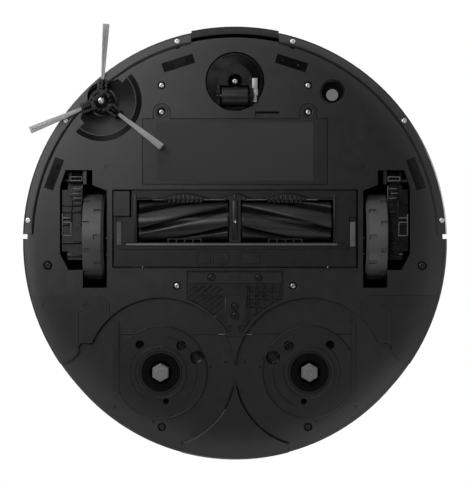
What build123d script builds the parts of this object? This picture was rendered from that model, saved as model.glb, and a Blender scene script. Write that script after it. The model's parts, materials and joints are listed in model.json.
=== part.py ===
from build123d import *
from math import cos, radians, sin, sqrt
import os

# Robot vacuum. The floor is z = 0, +Y is the front, and the origin is on the floor at the
# centre of the round bumper. Millimetres throughout.

# ---- driving dimensions -------------------------------------------------------------
BODY_R = 175.0            # outer radius of the bumper half
TAIL_R = 169.4            # outer radius of the tail, centred TAIL_Y behind the origin
TAIL_Y = -11.5
FLANK_R = 180.0           # flatter arcs that join the bumper half to the tail
FLANK_X, FLANK_Y = 5.0, -1.5
TAIL_JOIN = (129.8, -120.4)

BASE_Z = 11.0             # underside of the chassis plate
SKIN = 3.0                # chassis plate thickness
WALL_TOP = 22.0           # top of the chassis rim wall
SHELL_TOP = 76.5          # top of the side walls
DECK_TOP = 80.0           # top face of the body
RECESS_Z = 15.0           # ceiling of the mop and side-brush recesses

BUMPER_WALL = 3.0
BUMPER_TRAVEL = 3.5
BUMPER_END_Y = 5.2        # the bumper's two ends stop here
SPLIT_Y = 1.4             # the tail shell starts here
LIP_Z0, LIP_Z1 = 9.6, 10.8
LIP_R = 166.2             # inner radius of the bumper's bottom lip
FRONT_R = 171.4           # chassis front circle, set back by the bumper's travel
FRONT_Y = -4.0
TAIL_WALL = 2.5
LENS_INNER_R = 171.6      # the front window's bottom strip ends here

CLIFF_SIZE = (26.6, 7.7)
CLIFF_POLAR = ((153.6, 72.3), (153.6, 107.7), (159.0, 20.2), (159.0, 159.8))
SILVER_SCREWS = ((60.5, 128.0), (47.9, -37.5))
BUMPER_SCREWS = ((47.7, 164.1), (139.6, 98.8), (170.6, 16.6))
BOSS_R = 2.2              # bumper screw bosses, which slide in slots of the chassis
DARK_SCREW = (154.5, -20.7)
SCREW_R = 2.35
COUNTERBORE_R = 3.2

BATTERY_X, BATTERY_Y0, BATTERY_Y1 = 76.2, 46.5, 100.2
BATTERY_EAR = (60.5, 105.9)
EAR_R = 6.8

BAY_X, BAY_Y0, BAY_Y1 = 101.2, -22.4, 42.0
BRUSH_Y, BRUSH_Z = 16.4, 20.0
BRUSH_R, BRUSH_CORE_R = 17.5, 10.0
BRUSH_HALF, BRUSH_GAP = 79.0, 6.0
FIN_TWIST = -67.0         # how far each fin winds round the core, in degrees
FIN_COUNT = 6
GUARD_Z0, GUARD_Z1 = 8.0, 11.0

WHEEL_X0, WHEEL_X1 = 108.1, 125.6
WHEEL_Y, WHEEL_R = 3.0, 36.0
PIVOT_Y, PIVOT_Z = 49.5, 24.0
ARM_X0, ARM_X1 = 126.1, 143.2
WELL = ((117.7, 58.1), (139.8, 58.1), (144.4, 44.1), (144.4, -11.0), (137.5, -24.4),
        (125.6, -24.4), (125.6, -39.1), (105.7, -39.1), (105.7, 41.1), (117.7, 45.8))

CASTER_Y, CASTER_R = 131.3, 23.2
CASTER_TOP_R, CASTER_TOP_Z = 14.0, 7.8    # small end of the cone that the swivel's cap makes
CASTER_TRAIL = 12.4
ROLLER_R, ROLLER_HALF = 7.4, 11.2

SIDE_X, SIDE_Y = 110.1, 115.0
BOWL_R, BOWL_FOOT_R = 28.9, 34.0    # crest and outer foot of the raised rim round the brush
BOWL_FILL_R = 20.0          # the rim's solid runs in to here, where the hollow is already below the plate
BOWL_CREST_Z = 9.0
BOWL_END = (-10.5, 4.5)     # where its straight ends meet the hub's well, x along BOWL_FACING
HUB_WELL_R = 12.0         # round well that the brush hub turns in
BOWL_FACING = -136.5      # direction in which the half-round rim bulges, in degrees
ARM_ANGLES = (94.0, -23.0, -142.5)
BRISTLE_R0, BRISTLE_R1 = 17.5, 64.5
HUB_Z0, HUB_Z1 = 6.4, 13.6

CARPET_X, CARPET_Y = -80.3, 120.2

MOP_X, MOP_Y = 61.4, -108.8
MOP_RECESS_R, MOP_COVER_R = 61.7, 38.8
MOP_SEAL_R, HEX_FLATS = 17.3, 13.4
MOP_HOLES = ((78.6, -86.2, 3.6), (44.4, -87.0, 4.0), (31.3, -96.6, 5.8), (57.0, -133.0, 2.5))
REAR_HOLE = (60.4, -154.2, 3.6)

PORT_X, PORT_Y0, PORT_Y1 = 39.8, -76.0, -25.4

LIDAR_Y, LIDAR_R = -118.0, 46.0
LID_X, LID_Y0, LID_Y1 = 80.0, -66.0, 30.0
FAN_X, FAN_Y, FAN_R = -108.0, 88.0, 24.0

BIG = 400.0               # larger than the whole body, for half-space cuts

os.makedirs("parts", exist_ok=True)


# ---- shape helpers --------------------------------------------------------------------
def block(x0, x1, y0, y1, z0, z1, mode=Mode.ADD):
    """A rectangular block between the given bounds."""
    with Locations(((x0 + x1) / 2, (y0 + y1) / 2, (z0 + z1) / 2)):
        Box(abs(x1 - x0), abs(y1 - y0), z1 - z0, mode=mode)


def post(x, y, radius, z0, z1, mode=Mode.ADD):
    """An upright cylinder."""
    with Locations((x, y, (z0 + z1) / 2)):
        Cylinder(radius, z1 - z0, mode=mode)


def axle(x0, x1, y, z, radius, mode=Mode.ADD):
    """A cylinder that lies along X."""
    with Locations(Location(((x0 + x1) / 2, y, z), (0, 90, 0))):
        Cylinder(radius, abs(x1 - x0), mode=mode)


def slab(points, z0, z1, grow=0.0, mode=Mode.ADD):
    """A flat plate with straight edges, its outline grown or shrunk by an offset."""
    with BuildSketch(Plane.XY.offset(z0)) as profile:
        with BuildLine():
            Polyline(*points, close=True)
        make_face()
        if grow:
            offset(amount=grow, kind=Kind.INTERSECTION)
    extrude(profile.sketch, amount=z1 - z0, mode=mode)


def body_disc(inset, z0, z1, mode=Mode.ADD):
    """The whole plan of the body: round front, flatter flanks, slightly smaller tail."""
    waist = (sqrt(FLANK_R**2 - (BUMPER_END_Y - FLANK_Y)**2) - FLANK_X, BUMPER_END_Y)
    flank = (FLANK_R * cos(radians(-20)) - FLANK_X, FLANK_R * sin(radians(-20)) + FLANK_Y)
    with BuildSketch(Plane.XY.offset(z0)) as profile:
        with BuildLine():
            ThreePointArc(waist, (0, BODY_R), (-waist[0], waist[1]))
            ThreePointArc((-waist[0], waist[1]), (-flank[0], flank[1]), (-TAIL_JOIN[0], TAIL_JOIN[1]))
            ThreePointArc((-TAIL_JOIN[0], TAIL_JOIN[1]), (0, TAIL_Y - TAIL_R), TAIL_JOIN)
            ThreePointArc(TAIL_JOIN, flank, waist)
        make_face()
        if inset:
            offset(amount=-inset)
    extrude(profile.sketch, amount=z1 - z0, mode=mode)


def chassis_disc(inset, z0, z1, mode=Mode.ADD):
    """The chassis plan: a set-back circle in front, the body outline behind."""
    with BuildPart(mode=Mode.PRIVATE) as front:
        post(0, FRONT_Y, FRONT_R - inset, z0, z1)
        block(-BIG, BIG, SPLIT_Y, BIG, z0, z1, Mode.INTERSECT)
    with BuildPart(mode=Mode.PRIVATE) as tail:
        body_disc(TAIL_WALL + 0.1 + inset, z0, z1)
        block(-BIG, BIG, -BIG, SPLIT_Y, z0, z1, Mode.INTERSECT)
    add(front.part + tail.part, mode=mode)


def mop_recess(side, z0, z1, grow=0.0, mode=Mode.ADD):
    """The round mop recess of one side, open to the rim at its outer rear."""
    outer = ((117.0, -84.6), (127.0, -84.6), (134.0, -94.5), (141.8, -101.8),
             (200.0, -102.0), (200.0, -230.0), (60.0, -230.0), (42.5, -168.0))
    post(side * MOP_X, MOP_Y, MOP_RECESS_R + grow, z0, z1, mode)
    slab([(side * x, y) for x, y in outer], z0, z1, 0.0, mode)


def save(piece, name):
    """Label a finished piece and write it."""
    piece.part.label = name
    export_step(piece.part, f"parts/{name}.step")


def boss_slot(x, y, z0, z1):
    """Room for one bumper screw boss and the way it slides back."""
    reach = BOSS_R + 0.4
    post(x, y, reach, z0, z1, Mode.SUBTRACT)
    post(x, y - BUMPER_TRAVEL, reach, z0, z1, Mode.SUBTRACT)
    block(x - reach, x + reach, y - BUMPER_TRAVEL, y, z0, z1, Mode.SUBTRACT)


# ---- chassis ----------------------------------------------------------------------------
def bowl_side(part):
    """The half of a ring that bulges towards the middle of the body."""
    turned = Location((SIDE_X, SIDE_Y, 0), (0, 0, BOWL_FACING))
    return part & (turned * Pos(50 + 2.0, 0, 0) * Box(100, 200, 100))


def bowl_rim():
    """Raised rim round the side brush, steep inside and sloping away outside."""
    height = BASE_Z - BOWL_CREST_Z
    ring = Cone(BOWL_R, BOWL_FOOT_R, height + 0.4) - Cylinder(BOWL_FILL_R, 10)
    clear_of_lip = Pos(0, -BUMPER_TRAVEL, BASE_Z) * Cylinder(LIP_R - 0.6, 20)
    return bowl_side(Pos(SIDE_X, SIDE_Y, BASE_Z - height / 2 + 0.2) * ring) & clear_of_lip


def bowl_hollow():
    """Conical hollow of the bowl, which deepens towards the hub."""
    depth = RECESS_Z - BOWL_CREST_Z
    cone = Pos(SIDE_X, SIDE_Y, BOWL_CREST_Z + depth / 2) * Cone(BOWL_R - 0.7, HUB_WELL_R, depth)
    # the bowl's straight ends run from the crest to the side of the hub's well
    x, y = BOWL_END
    corners = [(BOWL_R, BOWL_R), (0, BOWL_R), (x, y), (x, -y), (0, -BOWL_R), (BOWL_R, -BOWL_R)]
    mask = extrude(make_face(Polyline(*corners, close=True)), amount=2 * BASE_Z, both=True)
    return cone & (Location((SIDE_X, SIDE_Y, 0), (0, 0, BOWL_FACING)) * mask)


def make_chassis_base():
    wall = 2.0
    rim, hollow = bowl_rim(), bowl_hollow()
    with BuildPart() as chassis:
        chassis_disc(0, BASE_Z, WALL_TOP)
        chassis_disc(2.5, BASE_Z + SKIN, WALL_TOP, Mode.SUBTRACT)
        # rear port opening, then the raised domes over the mop and side-brush recesses
        block(-PORT_X, PORT_X, PORT_Y0 - 3, PORT_Y1, BASE_Z, BASE_Z + SKIN, Mode.SUBTRACT)
        for side in (1, -1):
            with BuildPart(mode=Mode.PRIVATE) as dome:
                mop_recess(side, BASE_Z, RECESS_Z + 2.5, 2.5)
                with BuildPart(mode=Mode.PRIVATE) as limit:
                    chassis_disc(0, BASE_Z, RECESS_Z + 2.5)
                add(limit.part, mode=Mode.INTERSECT)
            add(dome.part)
        with BuildPart(mode=Mode.PRIVATE) as brush_dome:
            post(SIDE_X, SIDE_Y, BOWL_R + 1.5, BASE_Z, RECESS_Z + 2.5)
            with BuildPart(mode=Mode.PRIVATE) as limit:
                chassis_disc(0, BASE_Z, RECESS_Z + 2.5)
            add(limit.part, mode=Mode.INTERSECT)
        add(brush_dome.part)
        for side in (1, -1):
            mop_recess(side, BASE_Z - 1, RECESS_Z, 0.0, Mode.SUBTRACT)
            post(side * MOP_X, MOP_Y, MOP_SEAL_R + 0.3, BASE_Z, WALL_TOP, Mode.SUBTRACT)
            for x, y, radius in (*MOP_HOLES, REAR_HOLE):
                post(side * x, y, radius, RECESS_Z - 1, RECESS_Z + 1.9, Mode.SUBTRACT)
        # half-round bowl with a raised rim, then the hub's well and the motor shaft hole
        add(rim)
        add(hollow, mode=Mode.SUBTRACT)
        post(SIDE_X, SIDE_Y, HUB_WELL_R, BOWL_CREST_Z - 1, RECESS_Z, Mode.SUBTRACT)
        post(SIDE_X, SIDE_Y, 6.0, RECESS_Z, WALL_TOP, Mode.SUBTRACT)
        # walls around the wheel wells and the brush bay, then the openings themselves
        for side in (1, -1):
            outline = [(side * x, y) for x, y in WELL]
            slab(outline, BASE_Z, 60.0, wall)
            slab(outline, BASE_Z - 1, 61.0, 0.0, Mode.SUBTRACT)
            axle(side * (ARM_X0 - 1.6), side * (WELL[2][0] + 1), PIVOT_Y, PIVOT_Z, 2.5)
            block(side * (ARM_X0 - 3.4), side * (ARM_X0 - 0.6), PIVOT_Y - 3, PIVOT_Y + 9, 14, 30)
        block(-BAY_X - wall, BAY_X + wall, BAY_Y0 - wall, BAY_Y1 + wall, BASE_Z, WALL_TOP)
        block(-BAY_X, BAY_X, BAY_Y0, BAY_Y1, BASE_Z - 1, WALL_TOP, Mode.SUBTRACT)
        # caster well
        post(0, CASTER_Y, CASTER_R + 1.1, BASE_Z - 1, BASE_Z + SKIN, Mode.SUBTRACT)
        # battery opening with a shallow ledge for its cover
        battery_outline(0.4, BASE_Z - 1, BASE_Z + 2.1, Mode.SUBTRACT)
        block(-BATTERY_X + 4, BATTERY_X - 4, BATTERY_Y0 + 2.5, BATTERY_Y1 - 2.5,
              BASE_Z, BASE_Z + SKIN, Mode.SUBTRACT)
        # finger notch in front of the battery cover
        block(-36.6, -16.5, BATTERY_Y1 + 0.8, BATTERY_Y1 + 6.3, BASE_Z - 1, BASE_Z + 2, Mode.SUBTRACT)
        # pockets for screws, sensors and the bumper's screw bosses
        for side in (1, -1):
            for x, y in SILVER_SCREWS:
                post(side * x, y, COUNTERBORE_R, BASE_Z - 1, BASE_Z + 1.6, Mode.SUBTRACT)
                post(side * x, y, 1.2, BASE_Z, BASE_Z + SKIN, Mode.SUBTRACT)
            post(side * DARK_SCREW[0], DARK_SCREW[1], 3.9, BASE_Z - 1, BASE_Z + 1.8, Mode.SUBTRACT)
            post(side * 106.0, 60.0, 2.0, BASE_Z - 1, BASE_Z + 1, Mode.SUBTRACT)
            for x, y in BUMPER_SCREWS:
                boss_slot(side * x, y, BASE_Z - 1, WALL_TOP)
        # funnel that the carpet sensor looks out of
        post(CARPET_X, CARPET_Y + 2.2, 10.4, BASE_Z + 1, RECESS_Z + 2.5)
        with Locations((CARPET_X, CARPET_Y + 2.2, BASE_Z + 1.0)):
            Cone(10.6, 8.6, 2.0, mode=Mode.SUBTRACT)
        post(CARPET_X, CARPET_Y + 2.2, 8.6, BASE_Z, RECESS_Z + 1, Mode.SUBTRACT)
        for radius, angle in CLIFF_POLAR:
            with Locations(Location((radius * cos(radians(angle)), radius * sin(radians(angle)),
                                     BASE_Z), (0, 0, angle + 90))):
                Box(*CLIFF_SIZE, 3.0, mode=Mode.SUBTRACT)
    save(chassis, "chassis_base")


def battery_outline(grow, z0, z1, mode=Mode.ADD):
    """The battery cover's plan: a rectangle with an ear at each screw."""
    block(-BATTERY_X - grow, BATTERY_X + grow, BATTERY_Y0 - grow, BATTERY_Y1 + grow, z0, z1, mode)
    for side in (1, -1):
        post(side * BATTERY_EAR[0], BATTERY_EAR[1], EAR_R + grow, z0, z1, mode)
        block(side * (BATTERY_EAR[0] - EAR_R - grow), side * (BATTERY_EAR[0] + EAR_R + grow),
              BATTERY_Y1 - 1, BATTERY_EAR[1], z0, z1, mode)


def screw(x, y, z, length):
    """A screw driven up from below: its flat head with the shank above it."""
    post(x, y, SCREW_R, z, z + 1.0)
    post(x, y, 1.1, z + 1.0, z + length)


def make_screws():
    with BuildPart() as silver:
        for side in (1, -1):
            for x, y in SILVER_SCREWS:
                screw(side * x, y, BASE_Z + 0.6, 4.5)
    save(silver, "chassis_screws")
    with BuildPart() as dark:
        for side in (1, -1):
            post(side * DARK_SCREW[0], DARK_SCREW[1], 2.9, BASE_Z + 0.6, BASE_Z + 1.8)
            post(side * 19.5, -30.4, 2.4, BASE_Z - 0.8, BASE_Z - 0.2)
        for y in (-54.2, -61.6):
            post(0, y, 2.2, BASE_Z - 0.8, BASE_Z - 0.2)
    save(dark, "dark_screws")
    with BuildPart() as battery_screws:
        for side in (1, -1):
            post(side * BATTERY_EAR[0], BATTERY_EAR[1], SCREW_R, BASE_Z - 0.2, BASE_Z + 0.8)
    save(battery_screws, "battery_screws")


def make_corner_panel(side, name):
    """Raised panel between the wheel well and the mop recess, with a slot open to the rear."""
    z0, z1 = BASE_Z - 1.0, BASE_Z
    with BuildPart() as panel:
        with BuildSketch(Plane.XY.offset(z0)) as profile:
            with BuildLine():
                Line((side * 200, -45.5), (side * 114.0, -45.5))
                TangentArc((side * 114.0, -45.5), (side * 103.6, -57.0), tangent=(-side, 0))
                Line((side * 103.6, -57.0), (side * 103.2, -63.5))
                Line((side * 103.2, -63.5), (side * 115.8, -84.4))
                Line((side * 115.8, -84.4), (side * 127.0, -84.4))
                ThreePointArc((side * 127.0, -84.4), (side * 131.6, -95.4), (side * 143.0, -101.6))
                Line((side * 143.0, -101.6), (side * 200, -101.6))
                Line((side * 200, -101.6), (side * 200, -45.5))
            make_face()
        extrude(profile.sketch, amount=z1 - z0)
        with BuildPart(mode=Mode.PRIVATE) as limit:
            body_disc(2.7, z0, z1)
        add(limit.part, mode=Mode.INTERSECT)
        post(side * MOP_X, MOP_Y, MOP_RECESS_R, z0, z1, Mode.SUBTRACT)
        block(side * 125.0, side * 129.1, -90.0, -58.3, z0, z1, Mode.SUBTRACT)
        for x, y in ((157.0, -54.0), (123.0, -54.0)):
            post(side * x, y, 2.0, z0, z0 + 0.6, Mode.SUBTRACT)
    save(panel, name)


def make_mop_drive(side, name):
    """Ribbed round cover of one mop drive, standing in the recess around the seal."""
    with BuildPart() as cover:
        post(side * MOP_X, MOP_Y, MOP_COVER_R, RECESS_Z - 1.2, RECESS_Z)
        with BuildPart(mode=Mode.PRIVATE) as ring:
            post(side * MOP_X, MOP_Y, 22.3, RECESS_Z - 2.0, RECESS_Z)
        add(ring.part)
        block(side * 96.0, side * 99.8, -124.0, -66.0, RECESS_Z - 2.2, RECESS_Z)
        post(side * MOP_X, MOP_Y, MOP_SEAL_R + 0.3, BASE_Z, WALL_TOP, Mode.SUBTRACT)
        for x, y, radius in MOP_HOLES:
            post(side * x, y, radius, BASE_Z, RECESS_Z, Mode.SUBTRACT)
    save(cover, name)


def make_mop_details():
    with BuildPart() as seals:
        for side in (1, -1):
            post(side * MOP_X, MOP_Y, MOP_SEAL_R, RECESS_Z - 3.0, RECESS_Z + 1.5)
            post(side * MOP_X, MOP_Y, 9.2, BASE_Z, WALL_TOP, Mode.SUBTRACT)
            with Locations((side * MOP_X, MOP_Y, RECESS_Z - 2.2)):
                Cone(14.5, 10.5, 1.6, mode=Mode.SUBTRACT)
    save(seals, "mop_seal_rings")
    with BuildPart() as gearmotors:
        for side in (1, -1):
            post(side * MOP_X, MOP_Y, 24.0, RECESS_Z + 2.5, 40.0)
            post(side * (MOP_X + 22), MOP_Y + 14, 13.0, RECESS_Z + 2.5, 58.0)
            post(side * MOP_X, MOP_Y, 8.6, RECESS_Z, 30.0, Mode.SUBTRACT)
    save(gearmotors, "mop_gearmotors")
    for side, name in ((1, "mop_shaft_left"), (-1, "mop_shaft_right")):
        with BuildPart() as shaft:
            with BuildSketch(Plane.XY.offset(7.5)) as hexagon:
                with Locations((side * MOP_X, MOP_Y)):
                    RegularPolygon(HEX_FLATS / 2, 6, major_radius=False, rotation=30)
            extrude(hexagon.sketch, amount=11.0)
            chamfer(shaft.faces().sort_by(Axis.Z)[0].edges(), 0.8)
            post(side * MOP_X, MOP_Y, 5.0, 18.5, 29.0)
        save(shaft, name)


def make_rear_shell():
    with BuildPart() as shell:
        body_disc(0, BASE_Z, SHELL_TOP)
        chamfer(shell.faces().sort_by(Axis.Z)[0].edges(), 1.2)
        body_disc(TAIL_WALL, BASE_Z - 1, SHELL_TOP + 1, Mode.SUBTRACT)
        block(-BIG, BIG, SPLIT_Y, BIG, 0, BIG, Mode.SUBTRACT)
        for side in (1, -1):
            mop_recess(side, BASE_Z - 1, RECESS_Z, 0.0, Mode.SUBTRACT)
            block(side * 25.0 - 6.2, side * 25.0 + 6.2, -190, -170, 30, 40, Mode.SUBTRACT)
    save(shell, "rear_side_shell")
    with BuildPart() as contacts:
        for side in (1, -1):
            block(side * 25.0 - 6, side * 25.0 + 6, -179.6, -176.4, 30.2, 39.8)
    save(contacts, "charging_contacts")


def make_top_shell():
    """Deck over the whole body, with the inner wall that the bumper slides around."""
    with BuildPart() as deck:
        body_disc(1.0, SHELL_TOP, DECK_TOP)
        fillet(deck.faces().sort_by(Axis.Z)[-1].edges(), 2.5)
        with BuildPart(mode=Mode.PRIVATE) as wall:
            post(0, FRONT_Y, FRONT_R, WALL_TOP, SHELL_TOP + 1)
            post(0, FRONT_Y, FRONT_R - 2.5, WALL_TOP, SHELL_TOP + 1, Mode.SUBTRACT)
            block(-BIG, BIG, -BIG, SPLIT_Y + 0.1, 0, BIG, Mode.SUBTRACT)
            for side in (1, -1):
                for x, y in BUMPER_SCREWS:
                    boss_slot(side * x, y, WALL_TOP, 26.0)
        add(wall.part)
        block(-LID_X, LID_X, LID_Y0, LID_Y1, SHELL_TOP - 1, DECK_TOP + 1, Mode.SUBTRACT)
        # ledge that the closed lid rests on
        block(-LID_X + 6, LID_X - 6, LID_Y1 - 3.5, LID_Y1 + 3, SHELL_TOP - 2.4, SHELL_TOP + 0.1)
        post(0, LIDAR_Y, LIDAR_R - 10, SHELL_TOP - 1, DECK_TOP + 1, Mode.SUBTRACT)
        for x in (-16.0, 16.0):
            post(x, 96.0, 8.4, SHELL_TOP - 1, DECK_TOP + 1, Mode.SUBTRACT)
    save(deck, "top_shell")


# ---- bumper -----------------------------------------------------------------------------
def lens_zone(radius_extra, z0, z1, half, mode=Mode.ADD):
    """The stretch of the bumper that the front sensor window fills."""
    with BuildPart(mode=Mode.PRIVATE) as zone:
        post(0, -1.4, 177.8 + radius_extra, z0, z1)
        block(-half, half, 100, BIG, z0, z1, Mode.INTERSECT)
    add(zone.part, mode=mode)


def make_bumper():
    lens_half, lens_top = 36.0, 58.0
    gap = 0.15
    with BuildPart() as bumper:
        post(0, 0, BODY_R, LIP_Z0, SHELL_TOP - 0.7)
        chamfer(bumper.faces().sort_by(Axis.Z)[0].edges(), 1.6, 1.2)
        post(0, 0, BODY_R - BUMPER_WALL, LIP_Z1, SHELL_TOP, Mode.SUBTRACT)
        post(0, 0, LIP_R, LIP_Z0, LIP_Z1, Mode.SUBTRACT)
        with Locations((0, 0, LIP_Z0 + 0.4)):
            Cone(LIP_R + 1.6, LIP_R, 0.8, mode=Mode.SUBTRACT)
        for side in (1, -1):
            for x, y in BUMPER_SCREWS:
                post(side * x, y, BOSS_R, LIP_Z1 - 0.1, 20.0)
                post(side * x, y, SCREW_R + 0.3, LIP_Z0, LIP_Z0 + 0.7, Mode.SUBTRACT)
                post(side * x, y, 1.2, LIP_Z0, 18.0, Mode.SUBTRACT)
        block(-BIG, BIG, -BIG, BUMPER_END_Y, 0, BIG, Mode.SUBTRACT)
        lens_zone(1, LIP_Z0 - 1, lens_top + gap, lens_half + gap, Mode.SUBTRACT)
        # the side brush hub stands in this corner, also when the bumper is pushed in
        for shift in (0, BUMPER_TRAVEL):
            post(SIDE_X, SIDE_Y + shift, HUB_WELL_R - 0.4, LIP_Z0 - 1, RECESS_Z + 1.0, Mode.SUBTRACT)
    save(bumper, "bumper_shell")
    with BuildPart() as lens:
        lens_zone(0, LIP_Z0, lens_top, lens_half)
        chamfer(lens.faces().sort_by(Axis.Z)[0].edges().sort_by(Axis.Y)[-1], 1.0)
        post(0, 0, BODY_R - BUMPER_WALL, LIP_Z1 + 0.1, lens_top + 1, Mode.SUBTRACT)
        post(0, -1.4, LENS_INNER_R, LIP_Z0 - 1, LIP_Z1 + 1, Mode.SUBTRACT)
    save(lens, "bumper_lens")
    with BuildPart() as screws:
        for side in (1, -1):
            for x, y in BUMPER_SCREWS:
                screw(side * x, y, LIP_Z0 - 0.3, 7.0)
    save(screws, "bumper_screws")


# ---- battery, sensors and electronics ---------------------------------------------------
def make_battery():
    with BuildPart() as cover:
        battery_outline(0, BASE_Z, BASE_Z + 2.0)
        for side in (1, -1):
            post(side * BATTERY_EAR[0], BATTERY_EAR[1], COUNTERBORE_R, BASE_Z, BASE_Z + 0.8, Mode.SUBTRACT)
    save(cover, "battery_cover")
    with BuildPart() as case:
        block(-70, 70, 50.5, 96.5, 14.0, 56.0)
        block(-68.5, 68.5, 52.0, 95.0, 15.5, 54.5, Mode.SUBTRACT)
    save(case, "battery_pack")
    with BuildPart() as cells:
        for x in (-33.5, 33.5):
            for y in (64.2, 82.8):
                for z in (25.0, 44.0):
                    axle(x - 32.5, x + 32.5, y, z, 9.1)
    save(cells, "battery_cells")
    with BuildPart() as board:
        block(-72, 72, 47, 104, 57.0, 58.6)
        for x, y, size, height in ((-40, 70, 16, 2.4), (10, 80, 12, 2.0), (38, 62, 10, 8.0), (-8, 60, 8, 4.0)):
            block(x - size / 2, x + size / 2, y - size / 2, y + size / 2, 58.6, 58.6 + height)
    save(board, "main_board")


def make_sensors():
    with BuildPart() as windows:
        for radius, angle in CLIFF_POLAR:
            with Locations(Location((radius * cos(radians(angle)), radius * sin(radians(angle)),
                                     BASE_Z + 0.9), (0, 0, angle + 90))):
                Box(CLIFF_SIZE[0] - 0.4, CLIFF_SIZE[1] - 0.4, 1.2)
    save(windows, "cliff_windows")
    with BuildPart() as carpet:
        post(CARPET_X, CARPET_Y, 4.9, BASE_Z + 1.8, RECESS_Z + 1)
    save(carpet, "carpet_sensor")


# ---- main brush, chamber and guard ------------------------------------------------------
def make_brush_chamber():
    chamber_r = BRUSH_R + 2.0
    with BuildPart() as chamber:
        block(-86, 86, BRUSH_Y - 22, BRUSH_Y + 22, BASE_Z + SKIN, BRUSH_Z)
        axle(-86, 86, BRUSH_Y, BRUSH_Z, chamber_r + 2.5)
        block(-BIG, BIG, -BIG, BIG, -10, BASE_Z + 3, Mode.SUBTRACT)
        axle(-82, 82, BRUSH_Y, BRUSH_Z, chamber_r, Mode.SUBTRACT)
        block(-82, 82, BRUSH_Y - chamber_r, BRUSH_Y + chamber_r, 0, BRUSH_Z, Mode.SUBTRACT)
        # mouth into the dust bin
        block(-40, 40, BRUSH_Y - 30, BRUSH_Y - 5, 27, 36, Mode.SUBTRACT)
        axle(-90, 90, BRUSH_Y, BRUSH_Z, 4.0, Mode.SUBTRACT)
    save(chamber, "brush_chamber")
    with BuildPart() as motor:
        block(87.0, 100.6, 1.0, 40.8, 15.0, 68.0)
        block(87.0, 100.3, 20.4, 40.8, BASE_Z + 0.5, 15.0)
        axle(50, 87, 26, 56.0, 12.5)
        axle(86.5, 92, BRUSH_Y, BRUSH_Z, 4.2, Mode.SUBTRACT)
    save(motor, "brush_motor")


def make_brush():
    """Two mirrored halves of twisted rubber fins on one core, meeting as a V."""
    length = BRUSH_HALF - BRUSH_GAP
    with BuildPart() as core:
        axle(-BRUSH_HALF, BRUSH_HALF, BRUSH_Y, BRUSH_Z, BRUSH_CORE_R)
        axle(-BRUSH_HALF - 4.5, BRUSH_HALF + 6.5, BRUSH_Y, BRUSH_Z, 3.5)
    save(core, "brush_core")
    with BuildPart() as fins:
        for side in (1, -1):
            start = Plane(origin=(side * BRUSH_GAP, BRUSH_Y, BRUSH_Z), x_dir=(0, 1, 0), z_dir=(side, 0, 0))
            with BuildSketch(start) as stars:
                with PolarLocations((BRUSH_R + BRUSH_CORE_R - 0.4) / 2, FIN_COUNT):
                    Rectangle(BRUSH_R - BRUSH_CORE_R + 0.4, 7.0)
            for face in stars.sketch.faces():
                fin = Solid.extrude_linear_with_rotation(
                    face, start.origin, start.z_dir * length, FIN_TWIST * side)
                add(fin)
        axle(-BRUSH_HALF - 1, BRUSH_HALF + 1, BRUSH_Y, BRUSH_Z, BRUSH_CORE_R, Mode.SUBTRACT)
    save(fins, "brush_fins")
    with BuildPart() as bearings:
        for side in (1, -1):
            axle(side * (BRUSH_HALF + 0.4), side * 82.0, BRUSH_Y, BRUSH_Z, 8.4)
        axle(-90, 90, BRUSH_Y, BRUSH_Z, 3.6, Mode.SUBTRACT)
    save(bearings, "brush_bearings")


def make_guard():
    x1 = 99.8
    with BuildPart() as guard:
        block(-x1, x1, -21.6, 41.2, GUARD_Z0, GUARD_Z1)
        block(-x1, x1, -21.6, -19.6, GUARD_Z1, 15.0)
        block(-x1, 84.0, 39.4, 41.2, GUARD_Z1, 15.0)
        # corner left open for the gearbox foot, and the two windows
        block(85.0, BIG, 19.4, BIG, 0, BIG, Mode.SUBTRACT)
        block(-80.8, -4.8, -1.7, 33.4, 0, BIG, Mode.SUBTRACT)
        block(4.8, 80.8, -1.7, 33.4, 0, BIG, Mode.SUBTRACT)
        block(-4.8, 4.8, -1.7, 33.4, GUARD_Z1 - 1.8, BIG, Mode.SUBTRACT)
        block(-BIG, BIG, -5.0, -1.7, GUARD_Z0, GUARD_Z0 + 0.8, Mode.SUBTRACT)
        # slots that hold the latches
        block(93.0, 98.0, -4.2, 19.3, GUARD_Z0, GUARD_Z0 + 2.0, Mode.SUBTRACT)
        block(-99.4, -94.2, -5.2, 19.6, GUARD_Z0, GUARD_Z0 + 2.0, Mode.SUBTRACT)
        # comb teeth along the front of each window, short ribs along the back
        for side in (1, -1):
            for tooth in range(8):
                x = side * (28.5 + 3.7 * tooth)
                block(x - 0.8, x + 0.8, 31.0, 33.8, GUARD_Z0, GUARD_Z1 - 1.8)
            for rib in range(5):
                x = side * (27.8 + 6.8 * rib)
                block(x - 0.7, x + 0.7, -2.0, 1.2, GUARD_Z0, GUARD_Z1 - 1.4)
            block(side * 27.1, side * 55.7, 0.8, 1.7, GUARD_Z0, GUARD_Z1 - 1.4)
    save(guard, "brush_guard")
    with BuildPart() as strip:
        block(-84.2, 89.5, -4.2, -2.4, GUARD_Z0 - 0.8, GUARD_Z0 + 0.8)
    save(strip, "guard_wiper")
    with BuildPart() as latch_left:
        block(93.4, 97.6, -3.9, 15.2, GUARD_Z0 - 0.7, GUARD_Z0 + 1.7)
    save(latch_left, "latch_left")
    with BuildPart() as latch_right:
        block(-99.0, -94.6, -4.9, 15.2, GUARD_Z0 - 0.7, GUARD_Z0 + 1.7)
    save(latch_right, "latch_right")


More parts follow.
